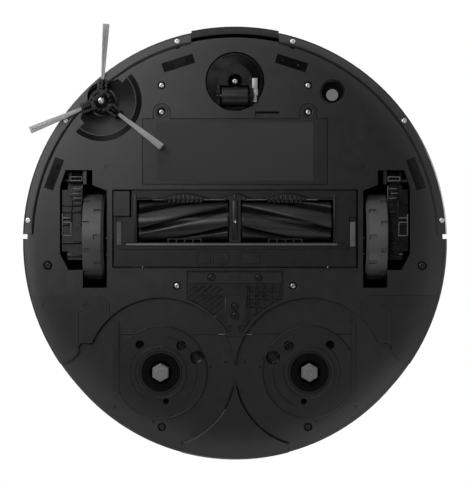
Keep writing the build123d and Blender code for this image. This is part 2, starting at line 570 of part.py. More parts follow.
# ---- rear port --------------------------------------------------------------------------
def make_rear_port():
    z0, z1 = BASE_Z + 1.0, BASE_Z + SKIN
    with BuildPart() as frame:
        block(-PORT_X + 0.3, PORT_X - 0.3, -77.5, PORT_Y1 - 0.3, z0, z1)
        for side in (1, -1):
            post(side * MOP_X, MOP_Y, MOP_RECESS_R + 2.8, z0 - 1, z1 + 1, Mode.SUBTRACT)
        # square cells on one side, slanted ribs on the other
        for row in range(3):
            for column in range(4):
                x, y = -12.6 - 6.4 * column, -40.5 - 6.4 * row
                if (x + MOP_X)**2 + (y - MOP_Y)**2 > (MOP_RECESS_R + 7.0)**2:
                    block(x - 2.4, x + 2.4, y - 2.4, y + 2.4, z0, z0 + 1.2, Mode.SUBTRACT)
                    with Locations(Location((-x, y, z0 + 0.6), (0, 0, 38))):
                        Box(5.6, 3.2, 1.2, mode=Mode.SUBTRACT)
    save(frame, "port_frame")
    with BuildPart() as bar:
        block(-38.6, 38.6, -35.2, -26.1, BASE_Z - 0.2, z0)
        for x in (-33.0, -4.3, 3.6, 32.0):
            post(x, -30.4, 0.9, BASE_Z - 0.2, BASE_Z + 0.4, Mode.SUBTRACT)
    save(bar, "port_bar")
    with BuildPart() as plate:
        block(-9.3, 9.3, -70.2, -45.6, BASE_Z - 0.2, z0)
        block(-8.0, 8.0, -79.0, -75.7, BASE_Z - 1.0, BASE_Z)
        block(-3.0, 3.0, -76.0, -70.0, BASE_Z - 0.6, BASE_Z)
    save(plate, "port_plate")


# ---- caster and side brush --------------------------------------------------------------
def make_caster():
    roller_y = CASTER_Y - CASTER_TRAIL
    with BuildPart() as socket:
        post(0, CASTER_Y, CASTER_R + 3.5, BASE_Z + SKIN, 30.0)
        post(0, CASTER_Y, CASTER_R + 1.1, BASE_Z, 24.0, Mode.SUBTRACT)
        post(0, CASTER_Y, 6.05, 20, 31, Mode.SUBTRACT)
    save(socket, "caster_socket")
    with BuildPart() as fork:
        post(0, CASTER_Y, CASTER_R, BASE_Z, 20.0)
        with Locations((0, CASTER_Y, (CASTER_TOP_Z + BASE_Z) / 2)):
            Cone(CASTER_TOP_R, CASTER_R - 0.4, BASE_Z - CASTER_TOP_Z)
        post(0, CASTER_Y, 6.0, 20.0, 29.6)
        for side in (1, -1):
            block(side * 12.2, side * 15.2, roller_y - 4.5, roller_y + 6.5, 5.6, 11.0)
            axle(side * 12.2, side * 15.2, roller_y, ROLLER_R, 3.6)
        block(-12.0, 12.0, roller_y - 8.8, roller_y + 8.8, 0, 17.4, Mode.SUBTRACT)
        axle(-16, 16, roller_y, ROLLER_R, 2.05, Mode.SUBTRACT)
        # deep pocket that the swivel screw sits in
        post(0, CASTER_Y, 5.6, 0, 16.0, Mode.SUBTRACT)
    save(fork, "caster_fork")
    with BuildPart() as wheel:
        axle(-ROLLER_HALF, ROLLER_HALF, roller_y, ROLLER_R, ROLLER_R)
        fillet(wheel.edges().filter_by(GeomType.CIRCLE), 1.0)
        axle(-14.8, 14.8, roller_y, ROLLER_R, 2.0)
    save(wheel, "caster_roller")


def make_side_brush():
    with BuildPart() as hub:
        post(SIDE_X, SIDE_Y, 10.5, HUB_Z0, HUB_Z1)
        fillet(hub.faces().sort_by(Axis.Z)[0].edges(), 2.0)
        post(SIDE_X, SIDE_Y, 4.0, HUB_Z1, 22.0)
        for angle in ARM_ANGLES:
            with Locations(Location((SIDE_X, SIDE_Y, HUB_Z0 + 1.4), (0, 0, angle))):
                with Locations((BRISTLE_R0 / 2 + 2, 0, 0)):
                    Box(BRISTLE_R0 - 4, 8.4, 2.8)
        post(SIDE_X, SIDE_Y, 3.0, HUB_Z0 - 1, HUB_Z0 + 1.4, Mode.SUBTRACT)
    save(hub, "side_brush_hub")
    with BuildPart() as tufts:
        for angle in ARM_ANGLES:
            direction = Vector(cos(radians(angle)), sin(radians(angle)), 0)
            centre = Vector(SIDE_X, SIDE_Y, 0)
            near = centre + direction * (BRISTLE_R0 + 0.3) + Vector(0, 0, 7.4)
            far = centre + direction * BRISTLE_R1 + Vector(0, 0, 2.6)
            across = Vector(-direction.Y, direction.X, 0)
            with BuildSketch(Plane(origin=near, x_dir=across, z_dir=far - near)) as root:
                Rectangle(2.9, 1.8)
            with BuildSketch(Plane(origin=far, x_dir=across, z_dir=far - near)) as tip:
                Rectangle(6.4, 1.0)
            loft([root.sketch, tip.sketch])
    save(tufts, "side_brush_bristles")
    with BuildPart() as motor:
        post(SIDE_X, SIDE_Y, 6.0, RECESS_Z + 2.5, 26.0)
        post(SIDE_X - 12, SIDE_Y - 12, 14.0, RECESS_Z + 2.5, 50.0)
        post(SIDE_X, SIDE_Y, 4.1, 10, 24.0, Mode.SUBTRACT)
    save(motor, "side_brush_motor")


# ---- drive wheels -----------------------------------------------------------------------
def make_drive_wheel(side, suffix):
    with BuildPart() as arm:
        axle(side * ARM_X0, side * ARM_X1, PIVOT_Y, PIVOT_Z, 7.5)
        slab_side = [(PIVOT_Y, PIVOT_Z + 7.5), (PIVOT_Y + 3, PIVOT_Z - 6.8), (WHEEL_Y - 19, 14.5),
                     (WHEEL_Y - 21, 30.0), (WHEEL_Y, 56.0)]
        with BuildSketch(Plane(origin=(side * ARM_X0, 0, 0), x_dir=(0, 1, 0), z_dir=(1, 0, 0))) as profile:
            with BuildLine():
                Polyline(*slab_side, close=True)
            make_face()
        extrude(profile.sketch, amount=side * (ARM_X1 - ARM_X0))
        axle(side * ARM_X0, side * ARM_X1, PIVOT_Y, PIVOT_Z, 2.6, Mode.SUBTRACT)
        # the well narrows towards both ends
        block(side * 138.4, side * 150, 42.0, 70, 0, 60, Mode.SUBTRACT)
        block(side * 138.4, side * 150, -40, -9.0, 0, 60, Mode.SUBTRACT)
        block(side * (ARM_X0 - 1), side * (ARM_X1 + 1), 45.5, 60, 10, PIVOT_Z - 1.5, Mode.SUBTRACT)
        axle(side * (ARM_X0 - 1), side * (ARM_X0 + 8), WHEEL_Y, WHEEL_R, 4.05, Mode.SUBTRACT)
        axle(side * (ARM_X0 + 10), side * (ARM_X1 + 1), WHEEL_Y - 2, 34.0, 15.2, Mode.SUBTRACT)
    save(arm, f"suspension_arm_{suffix}")
    with BuildPart() as gearbox:
        axle(side * (ARM_X0 + 10.1), side * (ARM_X1 - 1.2), WHEEL_Y - 2, 34.0, 15.0)
    save(gearbox, f"wheel_motor_{suffix}")
    with BuildPart() as tyre:
        axle(side * WHEEL_X0, side * WHEEL_X1, WHEEL_Y, WHEEL_R, WHEEL_R)
        rims = tyre.edges().filter_by(GeomType.CIRCLE).sort_by(Axis.X)
        chamfer(rims[0] if side > 0 else rims[-1], 2.2)
        fillet(rims[-1] if side > 0 else rims[0], 0.6)
        axle(side * (WHEEL_X0 - 1), side * (WHEEL_X1 + 1), WHEEL_Y, WHEEL_R, 29.5, Mode.SUBTRACT)
        with BuildPart(mode=Mode.PRIVATE) as lugs:
            for row, shift in ((WHEEL_X0 + 5.2, 18.0), (WHEEL_X1 - 2.6, 0.0)):
                for step in range(10):
                    angle = shift + 36.0 * step
                    spot = Plane(origin=(side * row, WHEEL_Y + WHEEL_R * cos(radians(angle)),
                                         WHEEL_R + WHEEL_R * sin(radians(angle))),
                                 x_dir=(1, 0, 0), z_dir=(0, cos(radians(angle)), sin(radians(angle))))
                    with Locations(spot.location):
                        Box(5.8, 3.8, 3.0)
        add(lugs.part, mode=Mode.SUBTRACT)
    save(tyre, f"tyre_{suffix}")
    with BuildPart() as hub:
        axle(side * (WHEEL_X0 + 0.8), side * (WHEEL_X1 - 0.4), WHEEL_Y, WHEEL_R, 29.5)
        axle(side * (WHEEL_X0 - 1), side * (WHEEL_X0 + 4), WHEEL_Y, WHEEL_R, 24.0, Mode.SUBTRACT)
        axle(side * (WHEEL_X0 + 2.0), side * (ARM_X0 + 6), WHEEL_Y, WHEEL_R, 4.0)
    save(hub, f"wheel_hub_{suffix}")


# ---- top side and inner machinery -------------------------------------------------------
def make_lidar():
    with BuildPart() as turret:
        post(0, LIDAR_Y, LIDAR_R, DECK_TOP, 85.0)
        post(0, LIDAR_Y, LIDAR_R - 10, DECK_TOP - 1, 86, Mode.SUBTRACT)
        with Locations((0, LIDAR_Y, 88.5)):
            with PolarLocations(LIDAR_R - 4, 3, start_angle=30):
                Cylinder(2.5, 7.0)
        post(0, LIDAR_Y, LIDAR_R - 1, 92.0, 97.0)
        fillet(turret.faces().sort_by(Axis.Z)[-1].edges(), 2.0)
    save(turret, "lidar_turret")
    with BuildPart() as rotor:
        post(0, LIDAR_Y, 30.0, 81.0, 91.4)
        post(0, LIDAR_Y, 6.0, 62.1, 81.0)
        for x in (-12.0, 10.0):
            with Locations(Location((x, LIDAR_Y + 28, 87.0), (90, 0, 0))):
                Cylinder(3.6, 10.0, mode=Mode.SUBTRACT)
    save(rotor, "lidar_rotor")
    with BuildPart() as base:
        post(0, LIDAR_Y, 34.0, 60.0, SHELL_TOP)
        post(0, LIDAR_Y, 32.0, 62.0, SHELL_TOP, Mode.SUBTRACT)
    save(base, "lidar_base")


def make_lid_and_buttons():
    with BuildPart() as lid:
        block(-LID_X + 0.5, LID_X - 0.5, LID_Y0 + 0.5, LID_Y1 - 0.5, SHELL_TOP + 0.4, DECK_TOP)
        fillet(lid.faces().sort_by(Axis.Z)[-1].edges(), 0.8)
        block(-20, 20, LID_Y1 - 8, LID_Y1 + 1, DECK_TOP - 1.2, DECK_TOP, Mode.SUBTRACT)
        for side in (1, -1):
            axle(side * (LID_X - 4), side * (LID_X - 0.15), LID_Y0 + 3, DECK_TOP - 1.4, 1.0)
    save(lid, "top_lid")
    for x, name in ((-16.0, "power_button"), (16.0, "home_button")):
        with BuildPart() as button:
            post(x, 96.0, 8.0, SHELL_TOP + 0.9, DECK_TOP + 0.5)
            fillet(button.faces().sort_by(Axis.Z)[-1].edges(), 0.5)
            post(x, 96.0, 2.5, 70.0, SHELL_TOP + 0.9)
        save(button, name)


def make_dust_path():
    with BuildPart() as dust_bin:
        block(-68, 68, -62.0, -8.5, 26.0, 74.0)
        block(-66, 66, -60.0, -10.5, 28.0, 72.0, Mode.SUBTRACT)
        block(-38, 38, -12, -8, 28.5, 35.0, Mode.SUBTRACT)
        block(-70, -64, -50.0, -20.0, 40.0, 66.0, Mode.SUBTRACT)
    save(dust_bin, "dust_bin")
    with BuildPart() as filter_frame:
        block(-72.0, -68.0, -52.0, -18.0, 38.0, 68.0)
        for fold in range(6):
            block(-72.0, -69.0, -49.0 + 5 * fold, -46.5 + 5 * fold, 41.0, 65.0, Mode.SUBTRACT)
    save(filter_frame, "dust_filter")
    with BuildPart() as housing:
        post(FAN_X, FAN_Y, FAN_R, 20.0, 62.0)
        post(FAN_X, FAN_Y, FAN_R - 2, 22.0, 60.0, Mode.SUBTRACT)
        post(FAN_X, FAN_Y, 10.0, 59.0, 63.0, Mode.SUBTRACT)
        block(FAN_X + 18, FAN_X + 26, FAN_Y - 8, FAN_Y + 8, 40.0, 56.0, Mode.SUBTRACT)
    save(housing, "fan_housing")
    with BuildPart() as impeller:
        post(FAN_X, FAN_Y, 17.0, 44.0, 46.0)
        post(FAN_X, FAN_Y, 6.0, 22.5, 56.0)
        with Locations((FAN_X, FAN_Y, 49.5)):
            with PolarLocations(10.6, 9):
                Box(12.0, 1.4, 9.0)
    save(impeller, "fan_impeller")


make_chassis_base()
make_screws()
make_corner_panel(1, "corner_panel_left")
make_corner_panel(-1, "corner_panel_right")
make_mop_drive(1, "mop_cover_left")
make_mop_drive(-1, "mop_cover_right")
make_mop_details()
make_rear_shell()
make_top_shell()
make_bumper()
make_battery()
make_sensors()
make_brush_chamber()
make_brush()
make_guard()
make_rear_port()
make_caster()
make_side_brush()
make_drive_wheel(1, "left")
make_drive_wheel(-1, "right")
make_lidar()
make_lid_and_buttons()
make_dust_path()
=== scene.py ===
import json
import random
from math import atan2, cos, pi, radians, sin

import bmesh
import bpy
from mathutils import Matrix, Vector


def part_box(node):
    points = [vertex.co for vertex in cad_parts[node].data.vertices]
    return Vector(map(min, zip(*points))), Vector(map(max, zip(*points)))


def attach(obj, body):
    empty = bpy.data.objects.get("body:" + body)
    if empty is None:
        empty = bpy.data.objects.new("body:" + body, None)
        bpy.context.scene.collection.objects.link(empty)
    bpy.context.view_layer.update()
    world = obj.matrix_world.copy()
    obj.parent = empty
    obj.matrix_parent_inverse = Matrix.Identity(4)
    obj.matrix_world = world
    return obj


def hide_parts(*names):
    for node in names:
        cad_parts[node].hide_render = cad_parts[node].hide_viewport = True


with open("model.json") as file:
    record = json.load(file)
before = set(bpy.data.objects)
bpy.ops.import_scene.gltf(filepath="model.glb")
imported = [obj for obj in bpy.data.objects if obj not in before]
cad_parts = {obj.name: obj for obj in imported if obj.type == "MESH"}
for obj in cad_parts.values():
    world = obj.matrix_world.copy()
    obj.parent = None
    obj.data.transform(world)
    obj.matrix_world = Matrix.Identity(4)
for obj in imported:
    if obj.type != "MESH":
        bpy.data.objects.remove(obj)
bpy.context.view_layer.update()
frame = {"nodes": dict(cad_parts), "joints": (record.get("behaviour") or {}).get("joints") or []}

rng = random.Random(7)
MM = 0.001
joints = {joint["name"]: joint for joint in frame["joints"]}


# ---- places read from the frame, in metres ---------------------------------------------
def middle(node):
    low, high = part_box(node)
    return (Vector(low) + Vector(high)) / 2


def islands(node):
    """The separate solids of one CAD node, each as a list of its points."""
    mesh = frame["nodes"][node].data
    work = bmesh.new()
    work.from_mesh(mesh)
    bmesh.ops.remove_doubles(work, verts=work.verts, dist=1e-6)
    work.verts.index_update()
    seen, found = set(), []
    for first in work.verts:
        if first.index in seen:
            continue
        seen.add(first.index)
        stack, points = [first], []
        while stack:
            vert = stack.pop()
            points.append(vert.co.copy())
            for edge in vert.link_edges:
                other = edge.other_vert(vert)
                if other.index not in seen:
                    seen.add(other.index)
                    stack.append(other)
        found.append(points)
    work.free()
    found.sort(key=lambda points: (round(sum(p.x for p in points) / len(points), 4),
                                   round(sum(p.y for p in points) / len(points), 4)))
    return found


def box_of(points):
    low = Vector([min(p[i] for p in points) for i in range(3)])
    high = Vector([max(p[i] for p in points) for i in range(3)])
    return low, high


# ---- materials -----------------------------------------------------------------------------
def new_material(name):
    material = bpy.data.materials.new(name)
    material.use_nodes = True
    nodes, links = material.node_tree.nodes, material.node_tree.links
    return material, nodes, links, nodes["Principled BSDF"]


def noise(nodes, links, coordinates, scale, detail=3.0):
    texture = nodes.new("ShaderNodeTexNoise")
    texture.inputs["Scale"].default_value = scale
    texture.inputs["Detail"].default_value = detail
    links.new(coordinates, texture.inputs["Vector"])
    return texture.outputs["Fac"]


def spread(nodes, links, value, low, high):
    remap = nodes.new("ShaderNodeMapRange")
    remap.inputs["From Min"].default_value = 0.3
    remap.inputs["From Max"].default_value = 0.7
    remap.inputs["To Min"].default_value = low
    remap.inputs["To Max"].default_value = high
    links.new(value, remap.inputs["Value"])
    return remap.outputs["Result"]


def two_tone(nodes, links, value, colour, amount):
    mix = nodes.new("ShaderNodeMix")
    mix.data_type = "RGBA"
    links.new(spread(nodes, links, value, 0.0, 1.0), mix.inputs["Factor"])
    mix.inputs["A"].default_value = (*[c * (1 - amount) for c in colour], 1)
    mix.inputs["B"].default_value = (*[min(1.0, c * (1 + amount)) for c in colour], 1)
    return mix.outputs["Result"]


def surface(name, colour, rough, grain=0.5, relief=0.25, stretch=(1, 1, 1), metallic=0.0,
            tone=0.12, rough_range=0.06, edge=0.25, specular=0.5, coat=0.0):
    """A moulded or machined surface: fine grain, slow tone changes and softened edges."""
    material, nodes, links, shader = new_material(name)
    coordinates = nodes.new("ShaderNodeTexCoord").outputs["Object"]
    mapping = nodes.new("ShaderNodeMapping")
    mapping.inputs["Scale"].default_value = stretch
    links.new(coordinates, mapping.inputs["Vector"])
    fine = noise(nodes, links, mapping.outputs["Vector"], 1000 / grain, 2.0)
    slow = noise(nodes, links, coordinates, 22.0, 4.0)
    links.new(two_tone(nodes, links, slow, colour, tone), shader.inputs["Base Color"])
    blotch = noise(nodes, links, mapping.outputs["Vector"], 140.0, 5.0)
    links.new(spread(nodes, links, blotch, rough - rough_range, rough + rough_range),
              shader.inputs["Roughness"])
    shader.inputs["Metallic"].default_value = metallic
    shader.inputs["Specular IOR Level"].default_value = specular
    shader.inputs["Coat Weight"].default_value = coat
    bump = nodes.new("ShaderNodeBump")
    bump.inputs["Strength"].default_value = relief
    bump.inputs["Distance"].default_value = 0.08 * MM
    links.new(fine, bump.inputs["Height"])
    if edge:
        soften = nodes.new("ShaderNodeBevel")
        soften.samples = 3
        soften.inputs["Radius"].default_value = edge * MM
        links.new(soften.outputs["Normal"], bump.inputs["Normal"])
    links.new(bump.outputs["Normal"], shader.inputs["Normal"])
    return material


CHASSIS = surface("chassis_plastic", (0.0070, 0.0070, 0.0073), 0.31, grain=0.5, relief=0.22,
                  tone=0.10, rough_range=0.02, edge=0.3)
PANEL = surface("panel_plastic", (0.0070, 0.0070, 0.0073), 0.33, grain=0.5, relief=0.20,
                tone=0.10, rough_range=0.02, specular=0.40)
GUARD = surface("guard_plastic", (0.0055, 0.0055, 0.0057), 0.36, grain=0.6, relief=0.18,
                tone=0.12, rough_range=0.03, specular=0.30)
DARK = surface("inner_plastic", (0.0035, 0.0035, 0.0037), 0.30, grain=0.7, relief=0.15,
               specular=0.25)
BLOCK = surface("gearbox_plastic", (0.0110, 0.0110, 0.0112), 0.45, grain=0.6, relief=0.3,
                specular=0.35)
GLOSS = surface("gloss_plastic", (0.0030, 0.0030, 0.0032), 0.18, grain=1.0, relief=0.10,
                rough_range=0.03, edge=0.4, specular=0.40)
# the shell's black plastic, set darker than the chassis plastic partly as painted shade for the dark band
# along the bumper's outer rim
SHELL = surface("shell_plastic", (0.0050, 0.0050, 0.0053), 0.36, grain=0.4, relief=0.14,
                tone=0.08, rough_range=0.02)
LABEL = surface("label_film", (0.040, 0.040, 0.0405), 0.80, grain=1.2, relief=0.10, edge=0.1,
                tone=0.03, rough_range=0.03, specular=0.12)
WINDOW = surface("sensor_window", (0.0020, 0.0018, 0.0022), 0.12, grain=2.0, relief=0.04,
                 rough_range=0.02)
# near-black material used only as painted shade: dark sheets laid in pits, pockets and gaps where shadow
# falls
SHADE_BLACK = surface("painted_shade_black", (0.0010, 0.0010, 0.0010), 0.75, grain=0.8, relief=0.2, specular=0.08)
GREY = surface("grey_plastic", (0.085, 0.085, 0.087), 0.40, grain=0.4, relief=0.35, tone=0.2)
LATCH = surface("latch_plastic", (0.030, 0.030, 0.031), 0.40, grain=0.4, relief=0.35, tone=0.2)
CLIP = surface("clip_steel", (0.34, 0.34, 0.35), 0.42, grain=0.5, relief=0.5, metallic=0.6,
               tone=0.25)
SILVER = surface("bright_steel", (0.62, 0.62, 0.63), 0.26, grain=0.25, metallic=1.0, tone=0.06,
                 edge=0.12)
BLACK_STEEL = surface("black_steel", (0.03, 0.03, 0.031), 0.30, grain=0.25, metallic=0.8, edge=0.12)
SHAFT = surface("shaft_metal", (0.15, 0.15, 0.153), 0.46, grain=0.3, stretch=(1, 1, 0.1),
                metallic=0.35, tone=0.10, edge=0.3)
RUBBER = surface("soft_rubber", (0.0028, 0.0028, 0.0029), 0.50, grain=0.9, relief=0.25,
                 specular=0.30)
FIN_RUBBER = surface("fin_rubber", (0.0130, 0.0130, 0.0134), 0.30, grain=1.4, relief=0.16,
                     stretch=(0.25, 1, 1), tone=0.15)
ROLLER = surface("roller_plastic", (0.0080, 0.0080, 0.0082), 0.32, grain=0.7, relief=0.2,
                 stretch=(0.3, 1, 1))
TYRE = surface("tyre_rubber", (0.058, 0.058, 0.059), 0.50, grain=0.6, relief=0.7, tone=0.25,
               stretch=(1, 0.35, 0.35), specular=0.4)
NYLON = surface("bristle_nylon", (0.36, 0.36, 0.365), 0.45, grain=0.6, relief=0.2,
                tone=0.35, edge=0)
BRASS = surface("contact_metal", (0.62, 0.48, 0.25), 0.30, grain=0.3, metallic=1.0)
BOARD = surface("circuit_board", (0.01, 0.09, 0.04), 0.40, grain=1.2, relief=0.4)
CELL = surface("cell_wrap", (0.03, 0.08, 0.22), 0.35, grain=1.5, relief=0.1)
MOTOR = surface("motor_can", (0.50, 0.50, 0.52), 0.35, grain=0.3, metallic=1.0,
                stretch=(1, 1, 0.2))
PAPER = surface("filter_paper", (0.72, 0.72, 0.68), 0.85, grain=0.5, relief=0.6)
DISC = surface("sensor_disc", (0.15, 0.15, 0.152), 0.55, grain=0.3, relief=0.5, tone=0.1)

NODE_MATERIALS = {
    CHASSIS: ["chassis_base"],
    PANEL: ["corner_panel_left", "corner_panel_right", "mop_cover_left", "mop_cover_right",
            "battery_cover", "port_bar", "port_plate"],
    GUARD: ["brush_guard", "port_frame"],
    BLOCK: ["brush_motor"],
    DARK: ["mop_gearmotors", "battery_pack", "brush_chamber", "brush_bearings",
           "caster_socket", "caster_fork", "fan_housing", "lidar_base",
           "suspension_arm_left", "suspension_arm_right", "wheel_motor_left",
           "wheel_motor_right", "wheel_hub_left", "wheel_hub_right", "brush_core",
           "lidar_rotor", "dust_bin"],
    SHELL: ["rear_side_shell", "top_shell", "lidar_turret", "bumper_shell", "top_lid"],
    WINDOW: ["cliff_windows"],
    GLOSS: ["bumper_lens", "side_brush_hub"],
    GREY: ["guard_wiper", "latch_right", "power_button", "home_button", "fan_impeller"],
    LATCH: ["latch_left"],
    SILVER: ["chassis_screws", "battery_screws", "bumper_screws"],
    BLACK_STEEL: ["dark_screws"],
    SHAFT: ["mop_shaft_left", "mop_shaft_right"],
    RUBBER: ["mop_seal_rings"],
    ROLLER: ["caster_roller"],
    FIN_RUBBER: ["brush_fins"],
    TYRE: ["tyre_left", "tyre_right"],
    NYLON: ["side_brush_bristles"],
    BRASS: ["charging_contacts"],
    BOARD: ["main_board"],
    CELL: ["battery_cells"],
    MOTOR: ["side_brush_motor"],
    PAPER: ["dust_filter"],
    DISC: ["carpet_sensor"],
}


def paint_cad_nodes():
    for material, names in NODE_MATERIALS.items():
        for name in names:
            node = frame["nodes"][name]
            node.data.materials.clear()
            node.data.materials.append(material)


# ---- mesh helpers -----------------------------------------------------------------------------
def finish_mesh(work, name, material, body, sharp=32.0):
    """Turn the gathered mesh into a piece that rides on a body."""
    bmesh.ops.recalc_face_normals(work, faces=work.faces)
    mesh = bpy.data.meshes.new(name)
    work.to_mesh(mesh)
    work.free()
    mesh.shade_smooth()
    mesh.set_sharp_from_angle(angle=radians(sharp))
    mesh.materials.append(material)
    piece = bpy.data.objects.new(name, mesh)
    bpy.context.scene.collection.objects.link(piece)
    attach(piece, body)
    return piece


def lathe(work, place, profile, segments=32, wobble=None):
    """Revolve (radius, height) points about the Z axis of a placing matrix."""
    rings = []
    for radius, height in profile:
        if radius == 0:
            rings.append([work.verts.new(place @ Vector((0, 0, height)))])
            continue
        ring = []
        for step in range(segments):
            angle = 2 * pi * step / segments
            r = radius * (wobble(angle, radius) if wobble else 1.0)
            ring.append(work.verts.new(place @ Vector((r * cos(angle), r * sin(angle), height))))
        rings.append(ring)
    for one, two in zip(rings, rings[1:]):
        for step in range(segments):
            after = (step + 1) % segments
            if len(one) == 1:
                work.faces.new((one[0], two[step], two[after]))
            elif len(two) == 1:
                work.faces.new((one[step], one[after], two[0]))
            else:
                work.faces.new((one[step], one[after], two[after], two[step]))


def sweep(work, path, section, up=Vector((0, 0, 1)), closed=False):
    """Carry a closed section of (across, up) points along a path, and cap its ends."""
    rings = []
    for index, point in enumerate(path):
        before = path[index - 1] if index or closed else point
        after = path[(index + 1) % len(path)] if index + 1 < len(path) or closed else point
        along = (after - before).normalized()
        across = along.cross(up).normalized()
        rise = across.cross(along)
        rings.append([work.verts.new(point + across * a + rise * b) for a, b in section])
    count = len(section)
    pairs = list(zip(rings, rings[1:])) + ([(rings[-1], rings[0])] if closed else [])
    for one, two in pairs:
        for k in range(count):
            work.faces.new((one[k], one[(k + 1) % count], two[(k + 1) % count], two[k]))
    if not closed:
        work.faces.new(rings[0])
        work.faces.new(list(reversed(rings[-1])))


def bar(work, low, high, chamfer=0.25 * MM):
    """A rectangular bar with chamfered edges between two corners."""
    low, high = Vector(low), Vector(high)
    made = bmesh.ops.create_cube(work, size=1.0)["verts"]
    size, centre = high - low, (high + low) / 2
    for vert in made:
        vert.co = Vector([vert.co[i] * abs(size[i]) + centre[i] for i in range(3)])
    edges = list(dict.fromkeys(edge for vert in made for edge in vert.link_edges))
    width = min(chamfer, 0.3 * min(abs(s) for s in size))
    bmesh.ops.bevel(work, geom=edges, offset=width, segments=2, profile=0.6, affect="EDGES")


def round_section(radius, sides=10):
    return [(radius * cos(2 * pi * k / sides), radius * sin(2 * pi * k / sides))
            for k in range(sides)]


def arc(centre, radius, start, end, z, steps=24):
    """Points along a flat arc, angles in degrees."""
    return [Vector((centre[0] + radius * cos(radians(start + (end - start) * k / steps)),
                    centre[1] + radius * sin(radians(start + (end - start) * k / steps)), z))
            for k in range(steps + 1)]


def at(x, y, z):
    return Matrix.Translation((x, y, z))


# ---- screws -------------------------------------------------------------------------------------
def screw_piece(name, node, material, body, head_r, shade_ring_r=0.0):
    """Pan heads with a cross recess, one on each solid of a screw node, and, when a ring radius is given, a
    near-black ring of painted shade round each head.
    """
    work = bmesh.new()
    for points in islands(node):
        low, high = box_of(points)
        x, y = (low.x + high.x) / 2, (low.y + high.y) / 2
        radius = min(head_r, (high.x - low.x) / 2)
        spin = rng.uniform(0, pi / 2)

        def recess(angle, r, spin=spin, radius=radius):
            if r > 0.62 * radius:
                return 1.0
            return 0.55 + 0.45 * abs(cos(2 * (angle + spin))) ** 1.6

        profile = [(0, 0.95 * MM), (0.30 * radius, 0.90 * MM), (0.52 * radius, 0.12 * MM),
                   (0.62 * radius, 0.02 * MM), (0.66 * radius, 0.03 * MM), (0.86 * radius, 0.16 * MM),
                   (0.97 * radius, 0.45 * MM), (radius, 0.75 * MM), (radius, 1.1 * MM), (0, 1.1 * MM)]
        lathe(work, at(x, y, low.z), profile, 40, recess)
    piece = finish_mesh(work, name, material, body)
    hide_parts(node)
    # painted shade: near-black rings standing for the shadow in the counterbore round each head
    if shade_ring_r:
        work = bmesh.new()
        for points in islands(node):
            low, high = box_of(points)
            lathe(work, at((low.x + high.x) / 2, (low.y + high.y) / 2, low.z + 0.35 * MM),
                  [(head_r, 0.8 * MM), (head_r + 0.02 * MM, 0), (shade_ring_r, -0.05 * MM),
                   (shade_ring_r, 0.8 * MM)], 36)
        finish_mesh(work, f"{name}_pockets", SHADE_BLACK, body)
    return piece


# ---- sizes shared by the trim pieces ----
BASE = 11.0 * MM        # underside of the chassis
# holes and sockets on each side of the body, as x, y and radius in mm; the holes get near-black discs of
# painted shade
SHADED_HOLES = ((78.6, -86.2, 3.5), (57.0, -133.0, 2.4))
SOCKETS = ((44.4, -87.0, 3.9), (31.3, -96.6, 5.7), (60.4, -154.2, 3.5))


# ---- side brush -----------------------------------------------------------------------------------
def side_brush():
    """The side brush: bristle tufts, hub collars and screw."""
    pivot = Vector(joints["side_brush_spin"]["pos_m"])
    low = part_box("side_brush_hub")[0]
    bristle_tufts(pivot)
    brush_collars(pivot, low)
    brush_screw(pivot, low)


def bristle_tufts(pivot):
    """Three fans of nylon bristles."""
    for number, points in enumerate(islands("side_brush_bristles")):
        points.sort(key=lambda p: (p.xy - pivot.xy).length)
        root = sum(points[:4], Vector()) / 4
        tip = sum(points[-4:], Vector()) / 4
        along = (tip - root).normalized()
        across = along.cross(Vector((0, 0, 1))).normalized()
        rise = across.cross(along)
        work = bmesh.new()
        count = 64
        for _ in range(count):
            ring = rng.random() ** 0.5
            turn = rng.uniform(0, 2 * pi)
            u, v = ring * cos(turn), ring * sin(turn)
            end = 1.0 - rng.random() ** 2 * 0.02
            wave = rng.uniform(-0.25, 0.25) * MM
            path = []
            for step in range(6):
                t = step / 5 * end
                width = (1.25 + 1.75 * t) * MM
                height = (0.80 - 0.35 * t) * MM
                path.append(root - along * 1.5 * MM + along * (tip - root).length * t
                            + across * (u * width + wave * sin(pi * t)) + rise * v * height)
            radius = 0.17 * MM
            sweep(work, path, [(radius, 0), (0, radius), (-radius, 0), (0, -radius)])
        piece = finish_mesh(work, f"bristle_tuft_{number + 1}", NYLON, "side_brush", 60)
        if number == 0:
            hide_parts("side_brush_bristles")


